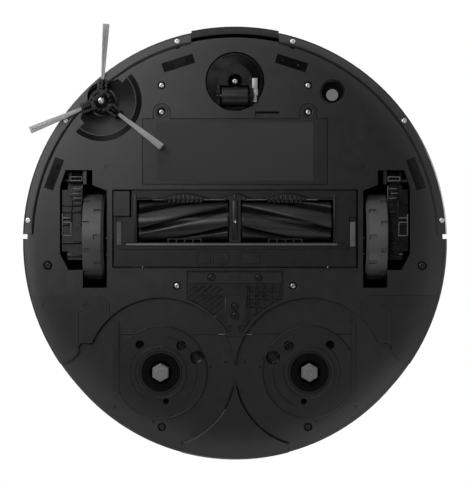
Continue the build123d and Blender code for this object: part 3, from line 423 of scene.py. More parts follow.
def brush_collars(pivot, low):
    """The clamped collars of the three arms and the hub's domed and studded face."""
    work = bmesh.new()
    for points in islands("side_brush_bristles"):
        points.sort(key=lambda p: (p.xy - pivot.xy).length)
        root = sum(points[:4], Vector()) / 4
        along = (root - pivot).xy.normalized().to_3d()
        frame_at = Matrix.Translation(root - along * 1.0 * MM) @ along.to_track_quat("Z",
                "Y").to_matrix().to_4x4()
        r = 2.5 * MM
        lathe(work, frame_at,
              [(0, -7.5 * MM), (r * 0.9, -7.5 * MM), (r * 1.25, -6.9 * MM), (r * 1.25, -5.5 * MM),
                               (r * 0.95, -5.0 * MM), (r * 0.95, -3.2 * MM), (r * 1.15, -2.8 * MM),
                               (r * 1.15, -1.6 * MM), (r * 0.9, -1.2 * MM), (r * 0.85, 0.6 * MM),
                               (r * 0.5, 0.9 * MM), (0, 0.9 * MM)], 20)
        side = along.cross(Vector((0, 0, 1)))
        for sign in (1, -1):
            foot = pivot + along * 7.6 * MM + side * sign * 4.2 * MM
            bar(work, (foot.x - 1.1 * MM, foot.y - 1.1 * MM, low.z - 0.5 * MM),
                (foot.x + 1.1 * MM, foot.y + 1.1 * MM, low.z + 1.2 * MM), 0.5 * MM)
    dome = [(3.0, 1.6), (3.0, -0.6), (3.5, -0.8), (6.0, -0.2), (8.2, 0.9), (9.4, 2.2), (10.2, 3.4)]
    lathe(work, at(pivot.x, pivot.y, low.z), [(r * MM, z * MM) for r, z in dome], 48,
          lambda angle, q: 1.0 + (0.05 * cos(6 * angle) if q > 5 * MM else 0.0))
    for angle in (40, 66, 160, 186, 275, 300):
        spot = at(pivot.x + 7.4 * MM * cos(radians(angle)), pivot.y + 7.4 * MM * sin(radians(angle)),
                  low.z - 0.1 * MM)
        lathe(work, spot,
              [(0, -0.9 * MM), (0.9 * MM, -0.7 * MM), (1.5 * MM, 0.1 * MM), (1.7 * MM, 1.2 * MM)], 12)
    # the hidden upper side is flat, clear of the bumper's lip
    for vert in work.verts:
        vert.co.z = min(vert.co.z, low.z + 2.9 * MM)
    finish_mesh(work, "side_brush_collars", GLOSS, "side_brush")


def brush_screw(pivot, low):
    """The cross-headed screw at the centre of the hub."""
    work = bmesh.new()
    r = 2.6 * MM
    lathe(work, at(pivot.x, pivot.y, low.z - 0.7 * MM),
          [(0, 1.2 * MM), (0.3 * r, 1.1 * MM), (0.5 * r, 0.2 * MM), (0.6 * r, 0.02 * MM),
           (0.9 * r, 0.25 * MM),
           (r, 0.8 * MM), (r, 1.8 * MM), (0, 1.8 * MM)], 40,
          lambda angle, q: 1.0 if q > 0.62 * r else 0.55 + 0.45 * abs(cos(2 * angle)) ** 1.6)
    finish_mesh(work, "side_brush_screw", SILVER, "side_brush")


# ---- main brush ------------------------------------------------------------------------------------
def main_brush():
    """Wide rubber fins that lean back and wind in from both ends to meet as a V."""
    core_low, core_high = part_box("brush_core")
    fin_low, fin_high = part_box("brush_fins")
    axis_y, axis_z = middle("brush_core").y, middle("brush_core").z
    outer = (fin_high.z - fin_low.z) / 2 - 0.05 * MM
    gap = 6.0 * MM
    lobe = ((-25.0, 0.56), (-24.5, 0.86), (-23.5, 0.97), (-21.5, 0.995), (-17.0, 1.0), (-8.0, 0.99),
            (2.0, 0.975), (10.0, 0.955), (15.0, 0.93), (17.5, 0.88), (18.0, 0.56))
    work = bmesh.new()
    rows, fins = 36, 6
    for side in (1, -1):
        start, end = side * gap, fin_high.x if side > 0 else fin_low.x
        for fin in range(fins):
            rings = []
            for row in range(rows + 1):
                t = row / rows
                x = start + (end - start) * t
                turn = 60 * fin + 9.0 - 67.0 * t
                loop = [(outer * r, radians(turn + a)) for a, r in lobe]
                rings.append([work.verts.new((x, axis_y + r * sin(a), axis_z - r * cos(a)))
                              for r, a in loop])
            count = len(rings[0])
            for one, two in zip(rings, rings[1:]):
                for k in range(count):
                    work.faces.new((one[k], one[(k + 1) % count], two[(k + 1) % count], two[k]))
            work.faces.new(rings[0])
            work.faces.new(list(reversed(rings[-1])))
    fins_piece = finish_mesh(work, "brush_rubber_fins", FIN_RUBBER, "brush", 50)
    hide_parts("brush_fins")
    work = bmesh.new()
    place = Matrix.Translation((core_low.x, axis_y, axis_z)) @ Matrix.Rotation(pi / 2, 4, "Y")
    length = core_high.x - core_low.x
    sleeve = 10.3 * MM
    lathe(work, place @ at(0, 0, 4.5 * MM), [(0, 0), (sleeve, 0), (sleeve + 0.5 * MM, 0.6 * MM),
          (sleeve + 0.5 * MM, 2.0 * MM), (sleeve, 2.4 * MM), (sleeve, length - 13.4 * MM),
          (sleeve + 0.5 * MM, length - 13.0 * MM), (sleeve + 0.5 * MM, length - 11.6 * MM),
          (sleeve, length - 11.0 * MM), (0, length - 11.0 * MM)], 48)
    finish_mesh(work, "brush_sleeve", FIN_RUBBER, "brush")


def guard_details():
    """Combs, edge lines and blank raised marks on the brush guard, with light grey lines of painted
    highlight along its front edge.
    """
    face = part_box("brush_guard")[0].z
    work = bmesh.new()
    front = 33.4 * MM
    for x in (0.0, 42.0, -42.0):
        half = (15.0 if x else 8.0) * MM
        count = 9 if x else 3
        for k in range(count):
            t = (k - (count - 1) / 2) / ((count - 1) / 2)
            cx = x * MM + t * half
            deep = (6.0 - 3.4 * abs(t)) * MM
            bar(work, (cx - 0.8 * MM, front - deep * 0.45, face - 0.6 * MM),
                (cx + 0.8 * MM, front + deep * 0.75, face + 0.5 * MM), 0.4 * MM)
        for sign in (1, -1):
            path = [Vector((x * MM + sign * (half + 6 * MM), front + 1.2 * MM, face)),
                    Vector((x * MM + sign * (half + 1 * MM), front + 2.6 * MM, face - 0.2 * MM)),
                    Vector((x * MM + sign * half * 0.5, front + 5.0 * MM, face - 0.3 * MM)),
                    Vector((x * MM, front + 5.6 * MM, face - 0.3 * MM))]
            sweep(work, path, round_section(0.55 * MM, 8))
    for sign in (1, -1):
        path = [Vector((sign * 82.5 * MM, 35.0 * MM, face)), Vector((sign * 74 * MM, 35.2 * MM, face)),
                Vector((sign * 68 * MM, 33.9 * MM, face - 0.2 * MM)),
                Vector((sign * 10 * MM, 33.9 * MM, face - 0.2 * MM))]
        sweep(work, path, round_section(0.5 * MM, 8))
        bar(work, (sign * 81.2 * MM, -1.0 * MM, face - 0.5 * MM),
            (sign * 83.2 * MM, 38.0 * MM, face + 1.0 * MM), 0.4 * MM)
        for k in range(4):
            x = sign * (76.0 + 2.6 * k) * MM
            bar(work, (x - 0.5 * MM, 34.0 * MM, face - 0.4 * MM),
                (x + 0.5 * MM, 38.4 * MM, face + 0.5 * MM), 0.25 * MM)
    bar(work, (-2.2 * MM, 1.0 * MM, face - 1.2 * MM), (2.2 * MM, 33.0 * MM, face + 0.6 * MM), 0.6 * MM)
    for x0, x1 in ((30.7, 20.0), (18.0, 5.0), (-4.8, -20.5)):
        outline = [Vector((x * MM, y * MM, face - 0.15 * MM)) for x, y in
                   ((x0, -9.4), (x1 + 1.5, -9.4), (x1, -11.0), (x1, -17.6), (x1 + 1.5, -19.2), (x0, -19.2))]
        sweep(work, outline, round_section(0.32 * MM, 6), closed=True)
    sweep(work, [Vector((-95 * MM, -7.2 * MM, face)), Vector((95 * MM, -7.2 * MM, face))],
          round_section(0.5 * MM, 8))
    finish_mesh(work, "guard_ribs", GUARD, "guard")
    # painted highlights: light grey rods along the front edges of the guard's windows
    work = bmesh.new()
    for x0, x1 in ((68, 58.5), (25.5, 9.5), (-9.5, -25.5), (-58.5, -68)):
        sweep(work,
              [Vector((x0 * MM, 33.6 * MM, face - 0.3 * MM)), Vector((x1 * MM, 33.6 * MM, face - 0.3 * MM))],
              round_section(0.5 * MM, 8))
    finish_mesh(work, "guard_front_highlight", GREY, "guard")
    guard_trim(face)


def guard_trim(face):
    """The wiper's lip, the pin in the middle bar and the ridges on the latches."""
    work = bmesh.new()
    low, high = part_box("guard_wiper")
    bar(work, (low.x, low.y + 0.5 * MM, low.z - 0.5 * MM),
        (high.x, high.y - 0.5 * MM, low.z + 0.6 * MM), 0.4 * MM)
    finish_mesh(work, "wiper_lip", GREY, "guard")
    work = bmesh.new()
    lathe(work, at(0, 15.5 * MM, face - 1.6 * MM),
          [(0, 0.2 * MM), (0.9 * MM, 0), (1.3 * MM, 0.3 * MM), (1.3 * MM, 1 * MM), (0, 1 * MM)], 20)
    finish_mesh(work, "guard_pin", SILVER, "guard")
    for node, body in (("latch_left", "latch_l"), ("latch_right", "latch_r")):
        low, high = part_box(node)
        work = bmesh.new()
        for k in range(4):
            y = low.y + (3.0 + 1.8 * k) * MM
            bar(work, (low.x + 0.6 * MM, y, low.z - 0.35 * MM),
                (high.x - 0.6 * MM, y + 0.8 * MM, low.z + 0.3 * MM), 0.2 * MM)
        finish_mesh(work, f"{node}_grip", GREY, body)


# ---- wheels ------------------------------------------------------------------------------------------
def arm_edge_highlights(side, suffix):
    """Painted highlights: light grey bars on the suspension arm's edges, hook outline and drum; and the axle
    clips.
    """
    low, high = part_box(f"suspension_arm_{suffix}")
    inner, outer = (low.x, high.x) if side > 0 else (high.x, low.x)
    work = bmesh.new()
    for y, t0, t1, z in ((52.6, 0.03, 0.60, 14.6), (49.4, 0.03, 0.60, 14.6), (42.8, 0.02, 0.46, 15.8),
                         (39.0, 0.16, 0.50, 15.8), (35.1, 0.02, 0.44, 15.2), (18.7, 0.55, 0.96, 14.2),
                         (15.0, 0.55, 0.96, 14.2), (4.0, 0.50, 0.94, 14.0), (-11.4, 0.55, 0.74, 13.6)):
        a, b = sorted((inner + (outer - inner) * t0, inner + (outer - inner) * t1))
        bar(work, (a, (y - 0.45) * MM, z * MM), (b, (y + 0.45) * MM, (z + 1.6) * MM), 0.25 * MM)
    for t, y0, y1, z in ((0.02, 33.0, 45.2, 15.2), (0.60, 49.4, 52.6, 14.6), (0.03, 49.4, 52.6, 14.6),
                         (0.55, 4.0, 15.0, 14.1), (0.97, 4.0, 22.0, 14.1)):
        x = inner + (outer - inner) * t
        bar(work, (x - 0.4 * MM, y0 * MM, z * MM), (x + 0.4 * MM, y1 * MM, (z + 1.6) * MM), 0.25 * MM)
    finish_mesh(work, f"arm_edge_highlights_{suffix}", GREY, f"arm_{suffix}")
    work = bmesh.new()
    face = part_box(f"tyre_{suffix}")[0].x if side > 0 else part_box(f"tyre_{suffix}")[1].x
    for y, r in ((2.0, 1.1), (-11.4, 0.8)):
        lathe(work, at(face - side * 1.6 * MM, y * MM, 14.0 * MM),
              [(0, -0.6 * MM), (r * 0.6 * MM, -0.4 * MM), (r * MM, 0.4 * MM), (r * MM, 3 * MM)], 14)
    finish_mesh(work, f"axle_clips_{suffix}", SILVER, f"arm_{suffix}")


def tread_pocket_shade(side, suffix):
    """Painted shade: near-black plates on the floors of the tyre's two rows of tread pockets."""
    low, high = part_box(f"tyre_{suffix}")
    inner, outer = (low.x, high.x) if side > 0 else (high.x, low.x)
    centre = middle(f"tyre_{suffix}")
    radius = (high.z - low.z) / 2 - 1.2 * MM
    work = bmesh.new()
    pockets = 10
    pitch = 360 / pockets
    for x, shift in ((inner + side * 5.2 * MM, pitch / 2), (outer - side * 2.7 * MM, 0)):
        for k in range(pockets):
            turn = Matrix.Rotation(radians(pitch * k + shift), 4, "X")
            place = Matrix.Translation((x, centre.y, centre.z)) @ turn
            first = len(work.verts)
            bar(work, (-2.5 * MM, -1.7 * MM, -radius - 0.1 * MM),
                (2.5 * MM, 1.7 * MM, -radius + 0.3 * MM), 0.08 * MM)
            work.verts.ensure_lookup_table()
            bmesh.ops.transform(work, matrix=place, verts=work.verts[first:])
    finish_mesh(work, f"tread_pocket_shade_{suffix}", SHADE_BLACK, f"wheel_{suffix}")


def wheel_details(side, suffix):
    """One drive wheel: the suspension arm's ribs and spring, its painted highlight bars, the painted shade
    in the tread pockets and the hub cap.
    """
    arm_ribs(side, suffix)
    arm_edge_highlights(side, suffix)
    tread_pocket_shade(side, suffix)
    hub_cap(side, suffix)


def arm_ribs(side, suffix):
    """Ribs on the suspension arm and the coil spring at its pivot."""
    low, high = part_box(f"suspension_arm_{suffix}")
    inner, outer = (low.x, high.x) if side > 0 else (high.x, low.x)
    body = f"arm_{suffix}"
    work = bmesh.new()

    def across(t):
        return inner + (outer - inner) * t

    base = 15.5 * MM
    for y, t0, t1, z in ((40.5, 0.05, 0.55, 1.6), (36.8, 0.05, 0.60, 1.2), (33.4, 0.10, 0.60, 0.8),
                         (29.0, 0.02, 0.98, 0.2), (23.5, 0.02, 0.98, 0.0), (18.0, 0.50, 0.98, -0.3),
                         (13.2, 0.50, 0.98, -0.5), (-2.0, 0.02, 0.98, -1.2), (-13.0, 0.02, 0.75, -1.6)):
        a, b = sorted((across(t0), across(t1)))
        bar(work, (a, (y - 0.8) * MM, base + (z - 0.8) * MM),
            (b, (y + 0.8) * MM, base + (z + 3.5) * MM), 0.4 * MM)
    a, b = sorted((across(0.50), across(0.56)))
    bar(work, (a, 12.0 * MM, base - 1.3 * MM), (b, 34.0 * MM, base + 3 * MM), 0.3 * MM)
    a, b = sorted((across(0.02), across(0.07)))
    bar(work, (a, 12.0 * MM, base - 1.3 * MM), (b, 44.0 * MM, base + 3 * MM), 0.3 * MM)
    finish_mesh(work, f"arm_ribs_{suffix}", DARK, body)
    work = bmesh.new()
    pivot = Vector(joints[f"arm_drop_{suffix}"]["pos_m"])
    turns, steps = 4, 18
    path = []
    for k in range(turns * steps + 1):
        angle = 2 * pi * k / steps
        x = across(0.12) + (across(0.62) - across(0.12)) * k / (turns * steps)
        path.append(Vector((x, pivot.y + 7.7 * MM * cos(angle), pivot.z - 7.7 * MM * sin(angle))))
    sweep(work, path, round_section(0.55 * MM, 8), up=Vector((1, 0, 0.01)))
    finish_mesh(work, f"arm_spring_{suffix}", BLACK_STEEL, body, 60)


def hub_cap(side, suffix):
    """The dished cap on the wheel's inner face, with six nuts."""
    low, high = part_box(f"tyre_{suffix}")
    face_x = low.x if side > 0 else high.x
    centre = middle(f"tyre_{suffix}")
    work = bmesh.new()
    place = Matrix.Translation((face_x, centre.y, centre.z)) @ Matrix.Rotation(side * pi / 2, 4, "Y")
    r = 29.2 * MM
    lathe(work, place,
          [(6 * MM, 5.0 * MM), (6 * MM, 1.2 * MM), (8 * MM, 0.8 * MM), (9 * MM, 3.0 * MM),
           (22 * MM, 3.6 * MM),
                        (24 * MM, 1.2 * MM), (r - 2 * MM, 0.6 * MM), (r, 1.0 * MM), (r, 3.0 * MM)], 64)
    for k in range(6):
        spot = place @ Matrix.Rotation(2 * pi * k / 6, 4, "Z") @ at(15.5 * MM, 0, 2.2 * MM)
        lathe(work, spot, [(0, 0), (2.4 * MM, 0), (2.8 * MM, 0.5 * MM), (2.8 * MM, 2 * MM)], 18)
    finish_mesh(work, f"hub_cap_{suffix}", DARK, f"wheel_{suffix}")


# ---- chassis trim ---------------------------------------------------------------------------------------
def ridge(work, path, width, height):
    """A low rounded ridge hanging below a surface."""
    half = width / 2
    sweep(work, path, [(-half, 0.4 * height), (-half, -0.5 * height), (-half * 0.6, -0.9 * height),
                       (0, -height), (half * 0.6, -0.9 * height), (half, -0.5 * height),
                       (half, 0.4 * height)])


def mop_details():
    """Ridges, bumps, seal rings and shaft ends in the two mop recesses."""
    ceiling = 15.0 * MM
    work = bmesh.new()
    for side in (1, -1):
        shaft = middle("mop_shaft_left" if side > 0 else "mop_shaft_right")
        centre = (shaft.x, shaft.y)

        def ang(start, end):
            return (start, end) if side > 0 else (180 - start, 180 - end)

        cover = ceiling - 1.2 * MM
        for radius, start, end, width in ((38.2, -165, 195, 0.9), (30.0, 100, 250, 0.6),
                                          (25.5, -60, 70, 0.7)):
            ridge(work, arc(centre, radius * MM, *ang(start, end), cover, 64), width * MM, 0.45 * MM)
        ridge(work, arc(centre, 60.9 * MM, *ang(-106, -168), ceiling, 40), 1.2 * MM, 2.4 * MM)
        ridge(work, arc(centre, 21.0 * MM, 0, 360, ceiling - 2.0 * MM, 64), 0.8 * MM, 0.4 * MM)
        # step across the recess and its bent end ridge
        y = -77.3 * MM
        ridge(work, [Vector((side * 10 * MM, y, ceiling)), Vector((side * 97 * MM, y, ceiling))],
              1.0 * MM, 1.0 * MM)
        for x, y, r in ((20.5, -104.0, 1.0), (24.0, -98.0, 0.8), (46.0, -136.0, 1.0), (67.5, -150.0, 0.9),
                        (100.0, -137.5, 1.0), (8.0, -100.0, 0.8)):
            lathe(work, at(side * x * MM, y * MM, ceiling - 1.5 * MM),
                  [(0, 0), (r * 0.6 * MM, 0.05 * MM), (r * MM, 0.5 * MM), (r * MM, 1.8 * MM)], 14)
    finish_mesh(work, "mop_recess_ridges", PANEL, "body", 40)
    work = bmesh.new()
    for side in (1, -1):
        shaft = middle("mop_shaft_left" if side > 0 else "mop_shaft_right")
        lathe(work, at(side * 31.3 * MM, -96.6 * MM, ceiling - 0.7 * MM),
              [(0, 0.9 * MM), (0.6 * MM, 0.8 * MM), (1.0 * MM, 0.1 * MM), (2.0 * MM, 0.1 * MM),
               (2.5 * MM, 0.8 * MM)], 24)
        lathe(work, at(side * 60.4 * MM, -154.2 * MM, ceiling - 0.4 * MM),
              [(0, 0.9 * MM), (0.6 * MM, 0.8 * MM), (1.0 * MM, 0.1 * MM), (2.0 * MM, 0.1 * MM),
               (2.5 * MM, 0.8 * MM)], 24)
        for ring in (11.5, 13.6, 15.6):
            lathe(work, at(shaft.x, shaft.y, ceiling - 3.2 * MM),
                  [((ring - 0.5) * MM, 0.9 * MM), (ring * MM, -0.1 * MM), ((ring + 0.5) * MM, 0.9 * MM)], 56)
    finish_mesh(work, "mop_seal_lips", RUBBER, "body")
    for body, node in (("mop_l", "mop_shaft_left"), ("mop_r", "mop_shaft_right")):
        shaft = middle(node)
        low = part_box(node)[0]
        work = bmesh.new()
        lathe(work, at(shaft.x, shaft.y, low.z - 0.25 * MM),
              [(0, 0.7 * MM), (1.6 * MM, 0.5 * MM), (2.2 * MM, 0.0), (4.6 * MM, 0.1 * MM),
               (5.0 * MM, 0.5 * MM)], 36)
        finish_mesh(work, f"{node}_boss", SHAFT, body)


def port_details():
    """The slanted and square lattice ribs beside the port's plate."""
    low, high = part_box("port_frame")
    face = low.z
    bar_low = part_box("port_bar")[0]
    plate_low, plate_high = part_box("port_plate")
    left, right = middle("mop_shaft_left"), middle("mop_shaft_right")
    reach = 64.8 * MM
    work = bmesh.new()

    def clear(point):
        return all((point.xy - mop.xy).length > reach for mop in (left, right)) and point.y > -73 * MM

    def rib(start, end):
        steps = 24
        run = []
        for k in range(steps + 1):
            point = start.lerp(end, k / steps)
            if clear(point):
                run.append(point)
            elif run:
                break
        if len(run) > 1:
            ridge(work, [run[0], run[-1]], 1.0 * MM, 0.7 * MM)

    x_in, x_out, top = plate_high.x + 1.0 * MM, high.x - 1.0 * MM, bar_low.y - 0.8 * MM
    for k in range(12):
        start = Vector((x_in + (6.0 * k - 26.0) * MM, top, face))
        end = start + Vector((34 * MM, -30 * MM, 0))
        while start.x < x_in and start.y > -70 * MM:
            start += Vector((1.134 * MM, -1.0 * MM, 0))
        if start.x < x_out:
            stop = end
            if end.x > x_out:
                stop = start + (end - start) * ((x_out - start.x) / (end.x - start.x))
            rib(start, stop)
    for k in range(5):
        x = -x_in - (1.0 + 6.4 * k) * MM
        rib(Vector((x, top, face)), Vector((x, -74 * MM, face)))
        y = top - 6.4 * MM * (k + 0.9)
        rib(Vector((-x_in, y, face)), Vector((-x_out, y, face)))
    outline = [Vector((x, y, BASE - 0.05 * MM)) for x, y in
               ((low.x, high.y + 0.3 * MM), (high.x, high.y + 0.3 * MM))]
    sweep(work, outline, round_section(0.5 * MM, 8))
    finish_mesh(work, "port_lattice", GUARD, "body")
    work = bmesh.new()
    mid = (plate_low.x + plate_high.x) / 2
    for sign in (1, -1):
        bar(work, (mid + sign * 7.6 * MM - 0.5 * MM, plate_low.y + 10 * MM, plate_low.z + 0.3 * MM),
            (mid + sign * 7.6 * MM + 0.5 * MM, plate_high.y - 1.5 * MM, plate_low.z + 1.2 * MM), 0.25 * MM)
    finish_mesh(work, "port_plate_rails", PANEL, "body")


def front_details():
    """Trim on the battery cover, caster, sensors, recesses and bumper."""
    battery_trim()
    caster_trim()
    cliff_lenses()
    painted_pit_shade()
    recess_glints()
    recess_sockets()
    bumper_line()


def battery_trim():
    """The film on the battery cover and the collars round its screws."""
    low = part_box("battery_cover")[0]
    work = bmesh.new()
    bar(work, (-64.4 * MM, 49.4 * MM, low.z - 0.15 * MM), (64.4 * MM, 97.4 * MM, low.z + 0.2 * MM),
        0.12 * MM)
    finish_mesh(work, "battery_label", LABEL, "body")
    work = bmesh.new()
    for points in islands("battery_screws"):
        a, b = box_of(points)
        lathe(work, at((a.x + b.x) / 2, (a.y + b.y) / 2, low.z - 0.35 * MM),
              [(3.2 * MM, 0.9 * MM), (3.2 * MM, 0.1 * MM), (3.5 * MM, 0), (4.6 * MM, 0.05 * MM),
               (5.0 * MM, 0.5 * MM)], 36)
    finish_mesh(work, "battery_cover_trim", PANEL, "body")


def caster_trim():
    """The caster's rim line, swivel screw, axle pin, spring clip, and near-black painted shade in its
    pockets.
    """
    centre, roll = middle("caster_fork"), Vector(joints["caster_roll"]["pos_m"])
    work = bmesh.new()
    sweep(work, arc((0, centre.y), 5.9 * MM, -25, 205, 7.7 * MM, 28), round_section(0.45 * MM, 8))
    sweep(work, arc((0, centre.y), 21.6 * MM, 60, 330, 10.3 * MM, 60), round_section(0.35 * MM, 6))
    for sign in (1, -1):
        bar(work, (sign * 12.2 * MM, roll.y - 7.4 * MM, 7.2 * MM),
            (sign * 14.2 * MM, roll.y + 9.5 * MM, 9.6 * MM), 0.5 * MM)
    finish_mesh(work, "caster_trim", DARK, "caster")
    work = bmesh.new()
    lathe(work, at(0, centre.y, 10.8 * MM),
          [(0, 1.3 * MM), (0.7 * MM, 1.2 * MM), (1.1 * MM, 0.1 * MM), (1.9 * MM, 0.15 * MM),
           (2.3 * MM, 0.7 * MM), (2.3 * MM, 5.3 * MM)], 30)
    sweep(work,
          [Vector((15.4 * MM, roll.y, roll.z - 1.6 * MM)), Vector((10.9 * MM, roll.y, roll.z - 1.6 * MM))],
          round_section(0.6 * MM, 10))
    finish_mesh(work, "caster_screw", SILVER, "caster")
    work = bmesh.new()
    for y0, y1, x0, x1 in ((2.4, -6.5, 14.0, 18.6), (-6.5, -12.0, 14.0, 19.0), (-12.0, -17.4, 14.2, 18.0)):
        bar(work, (-x1 * MM, centre.y + y1 * MM, 7.0 * MM), (-x0 * MM, centre.y + y0 * MM, 9.9 * MM),
            0.5 * MM)
    finish_mesh(work, "caster_clip", CLIP, "caster")
    # painted shade: near-black sheets in the pocket over the roller and round the swivel
    work = bmesh.new()
    bar(work, (-12.0 * MM, roll.y - 8.8 * MM, 16.6 * MM), (12.0 * MM, roll.y + 8.8 * MM, 17.6 * MM),
        0.2 * MM)
    lathe(work, at(0, centre.y, 15.6 * MM), [(0, 0), (5.5 * MM, 0.1 * MM), (5.6 * MM, 1 * MM)], 32)
    finish_mesh(work, "caster_pocket_shade", SHADE_BLACK, "caster")


def cliff_lenses():
    """Two small lenses on each cliff window."""
    work = bmesh.new()
    for points in islands("cliff_windows"):
        a, b = box_of(points)
        centre_of = (a + b) / 2
        angle = atan2(centre_of.y, centre_of.x) + pi / 2
        for offset in (-6.5, 6.5):
            x = centre_of.x + offset * MM * cos(angle)
            y = centre_of.y + offset * MM * sin(angle)
            lathe(work, at(x, y, a.z - 0.25 * MM), [(0, 0), (1.2 * MM, 0.08 * MM), (2.0 * MM, 0.4 * MM)], 20)
    finish_mesh(work, "cliff_lenses", WINDOW, "body")


def painted_pit_shade():
    """Painted shade: near-black floors in the sensor funnel, finger notch, mop recess holes, round the mop
    seals and in the notch between.
    """
    disc = middle("carpet_sensor")
    work = bmesh.new()
    lathe(work, at(disc.x, disc.y + 2.2 * MM, BASE + 4.7 * MM),
          [(0, 0.2 * MM), (8.3 * MM, 0), (8.5 * MM, -2.6 * MM)], 48)
    bar(work, (-36.4 * MM, 105.2 * MM, BASE + 0.4 * MM), (-16.7 * MM, 106.3 * MM, BASE + 2.0 * MM), 0.1 * MM)
    for x, y, r in SHADED_HOLES:
        for side in (1, -1):
            lathe(work, at(side * x * MM, y * MM, 14.6 * MM),
                  [(r * MM, -0.1 * MM), (r * 0.96 * MM, 1.9 * MM), (0, 2.1 * MM)], 32)
    for side in (1, -1):
        shaft = middle("mop_shaft_left" if side > 0 else "mop_shaft_right")
        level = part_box("mop_seal_rings")[0].z - 0.15 * MM
        lathe(work, at(shaft.x, shaft.y, level),
              [(8.6 * MM, 0.8 * MM), (9.4 * MM, 0), (12.6 * MM, -0.1 * MM), (16.0 * MM, 0),
               (16.5 * MM, 0.8 * MM)], 72)
    corners = [Vector((x * MM, y * MM, 12.9 * MM)) for x,
               y in ((4.2, -80.2), (-4.2, -80.2), (-1.6, -93.5), (1.6, -93.5))]
    work.faces.new([work.verts.new(point) for point in corners])
    finish_mesh(work, "pit_shade_sheets", SHADE_BLACK, "body")


def recess_glints():
    """Light edge lines on the port's rear step and on the +X mop recess."""
    work = bmesh.new()
    ridge(work,
          [Vector((14.0 * MM, -77.6 * MM, 13.9 * MM)), Vector((-14.0 * MM, -77.6 * MM, 13.9 * MM))],
          1.1 * MM, 0.9 * MM)
    centre = middle("mop_shaft_left")
    ridge(work, arc((centre.x, centre.y), 61.6 * MM, -108, -150, 13.2 * MM, 32), 0.7 * MM, 0.7 * MM)
    finish_mesh(work, "recess_glints", GREY, "body")


def recess_sockets():
    """Shallow dark sockets with a centre boss in the mop recesses."""
    work = bmesh.new()
    for x, y, r in SOCKETS:
        for side in (1, -1):
            lathe(work, at(side * x * MM, y * MM, 14.9 * MM),
                  [(r * MM, -0.3 * MM), (r * 0.7 * MM, 0.6 * MM), (r * 0.35 * MM, 0.6 * MM),
                   (r * 0.25 * MM, -0.2 * MM), (0, -0.1 * MM)], 32)
    finish_mesh(work, "recess_sockets", DARK, "body")


def bumper_line():
    """Fine moulded line along the bumper's lip."""
    lip_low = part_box("bumper_shell")[0]
    work = bmesh.new()
    for start, end in ((3.5, 33.0), (58.0, 76.0), (104.0, 176.5)):
        ridge(work, arc((0, 0), 168.3 * MM, start, end, lip_low.z + 0.02 * MM, 60), 0.7 * MM, 0.22 * MM)
    finish_mesh(work, "bumper_lip_line", SHELL, "bumper")


def top_details():
    """Raised rings on the buttons, a bar on one of them and a ring on the turret."""
    for node, body in (("power_button", "power"), ("home_button", "home")):
        low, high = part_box(node)
        spot = middle(node)
        work = bmesh.new()
        lathe(work, at(spot.x, spot.y, high.z),
              [(4.2 * MM, -0.1 * MM), (4.3 * MM, 0.12 * MM), (4.9 * MM, 0.12 * MM),
                                                  (5.0 * MM, -0.1 * MM)], 36)
        if node == "power_button":
            bar(work, (spot.x - 0.35 * MM, spot.y + 1.5 * MM, high.z - 0.1 * MM),
                (spot.x + 0.35 * MM, spot.y + 6.2 * MM, high.z + 0.15 * MM), 0.1 * MM)
        finish_mesh(work, f"{node}_mark", SHELL, body)
    low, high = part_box("lidar_turret")
    centre = middle("lidar_turret")
    r = (high.x - low.x) / 2
    work = bmesh.new()
    lathe(work, at(centre.x, centre.y, high.z),
          [((r - 9 * MM), -0.3 * MM), ((r - 8.8 * MM), 0.15 * MM), ((r - 8 * MM), 0.15 * MM),
                                                   ((r - 7.8 * MM), -0.3 * MM)], 72)
    finish_mesh(work, "turret_ring", GREY, "body")


# ---- light, floor and camera ---------------------------------------------------------------------------
def area_light(name, place, target, size, power):
    lamp = bpy.data.lights.new(name, "AREA")
    lamp.energy = power
    lamp.size = size
    lamp_object = bpy.data.objects.new(name, lamp)
    lamp_object.location = place
    aim = Vector(target) - Vector(place)
    lamp_object.rotation_euler = aim.to_track_quat("-Z", "Y").to_euler()
    bpy.context.scene.collection.objects.link(lamp_object)
    return lamp_object


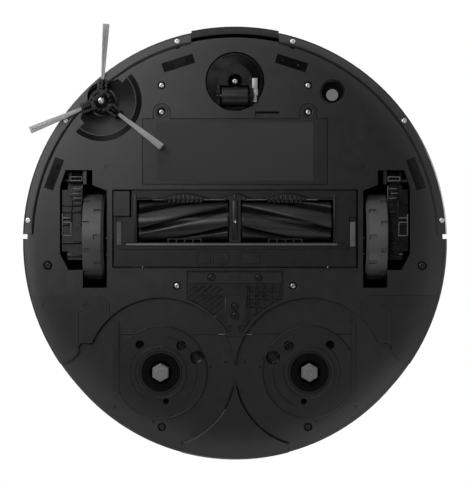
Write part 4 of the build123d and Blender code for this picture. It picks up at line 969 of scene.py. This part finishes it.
def make_stage():
    """A pale floor that shows from above and lets the view and the light through from below."""
    bpy.ops.mesh.primitive_plane_add(size=8.0, location=(0, 0, 0))
    floor = bpy.context.object
    floor.name = "floor"
    material, nodes, links, shader = new_material("pale_floor")
    coordinates = nodes.new("ShaderNodeTexCoord").outputs["Object"]
    slow = noise(nodes, links, coordinates, 6.0)
    links.new(two_tone(nodes, links, slow, (0.80, 0.80, 0.80), 0.015), shader.inputs["Base Color"])
    shader.inputs["Roughness"].default_value = 0.7
    clear = nodes.new("ShaderNodeBsdfTransparent")
    mix = nodes.new("ShaderNodeMixShader")
    links.new(nodes.new("ShaderNodeNewGeometry").outputs["Backfacing"], mix.inputs["Fac"])
    links.new(shader.outputs["BSDF"], mix.inputs[1])
    links.new(clear.outputs["BSDF"], mix.inputs[2])
    links.new(mix.outputs["Shader"], nodes["Material Output"].inputs["Surface"])
    floor.data.materials.append(material)
    floor.visible_shadow = False
    world = bpy.data.worlds.new("studio")
    world.use_nodes = True
    nodes, links = world.node_tree.nodes, world.node_tree.links
    background = nodes["Background"]
    background.inputs["Color"].default_value = (1, 1, 1, 1)
    path = nodes.new("ShaderNodeLightPath")
    strength = nodes.new("ShaderNodeMapRange")
    strength.inputs["To Min"].default_value = 0.09
    strength.inputs["To Max"].default_value = 1.0
    links.new(path.outputs["Is Camera Ray"], strength.inputs["Value"])
    links.new(strength.outputs["Result"], background.inputs["Strength"])
    bpy.context.scene.world = world
    area_light("key_below", (0.44, 0.42, -1.49), (0.02, 0.02, 0), 0.40, 7.4)
    area_light("front_below", (0.35, 1.40, -0.75), (0, 0, 0), 0.5, 8.0)
    area_light("rear_below", (-0.25, -1.35, -0.8), (0, 0, 0), 0.5, 4.0)
    area_light("slope_below", (0.75, 0.72, -1.0), (0.08, 0.06, 0), 0.45, 6.0)
    area_light("fill_below", (-0.40, -0.42, -1.49), (0, 0, 0), 0.35, 1.3)
    area_light("key_above", (0.9, 0.9, 1.5), (0, 0, 0.05), 0.9, 34)
    area_light("side_above", (-1.3, 0.2, 0.8), (0, 0, 0.05), 0.7, 14)
    area_light("back_above", (0.3, -1.3, 0.9), (0, 0, 0.05), 0.7, 16)


def make_camera():
    """Straight below the body, looking up, with the front of the body at the top."""
    camera = bpy.data.cameras.new("camera")
    camera.lens = 137.1
    camera.sensor_width = 36.0
    camera_object = bpy.data.objects.new("camera", camera)
    camera_object.location = (0, 0, -1.5)
    camera_object.rotation_euler = (0, pi, 0)
    bpy.context.scene.collection.objects.link(camera_object)
    bpy.context.scene.camera = camera_object
    bpy.context.scene.view_settings.view_transform = "Standard"


make_camera()
make_stage()
paint_cad_nodes()
screw_piece("chassis_screw_heads", "chassis_screws", SILVER, "body", 2.35 * MM, 3.15 * MM)
screw_piece("battery_screw_heads", "battery_screws", SILVER, "body", 2.35 * MM, 3.15 * MM)
screw_piece("bumper_screw_heads", "bumper_screws", SILVER, "bumper", 2.35 * MM)
screw_piece("dark_screw_heads", "dark_screws", BLACK_STEEL, "body", 2.9 * MM, 3.4 * MM)
side_brush()
main_brush()
guard_details()
wheel_details(1, "left")
wheel_details(-1, "right")
mop_details()
port_details()
front_details()
top_details()
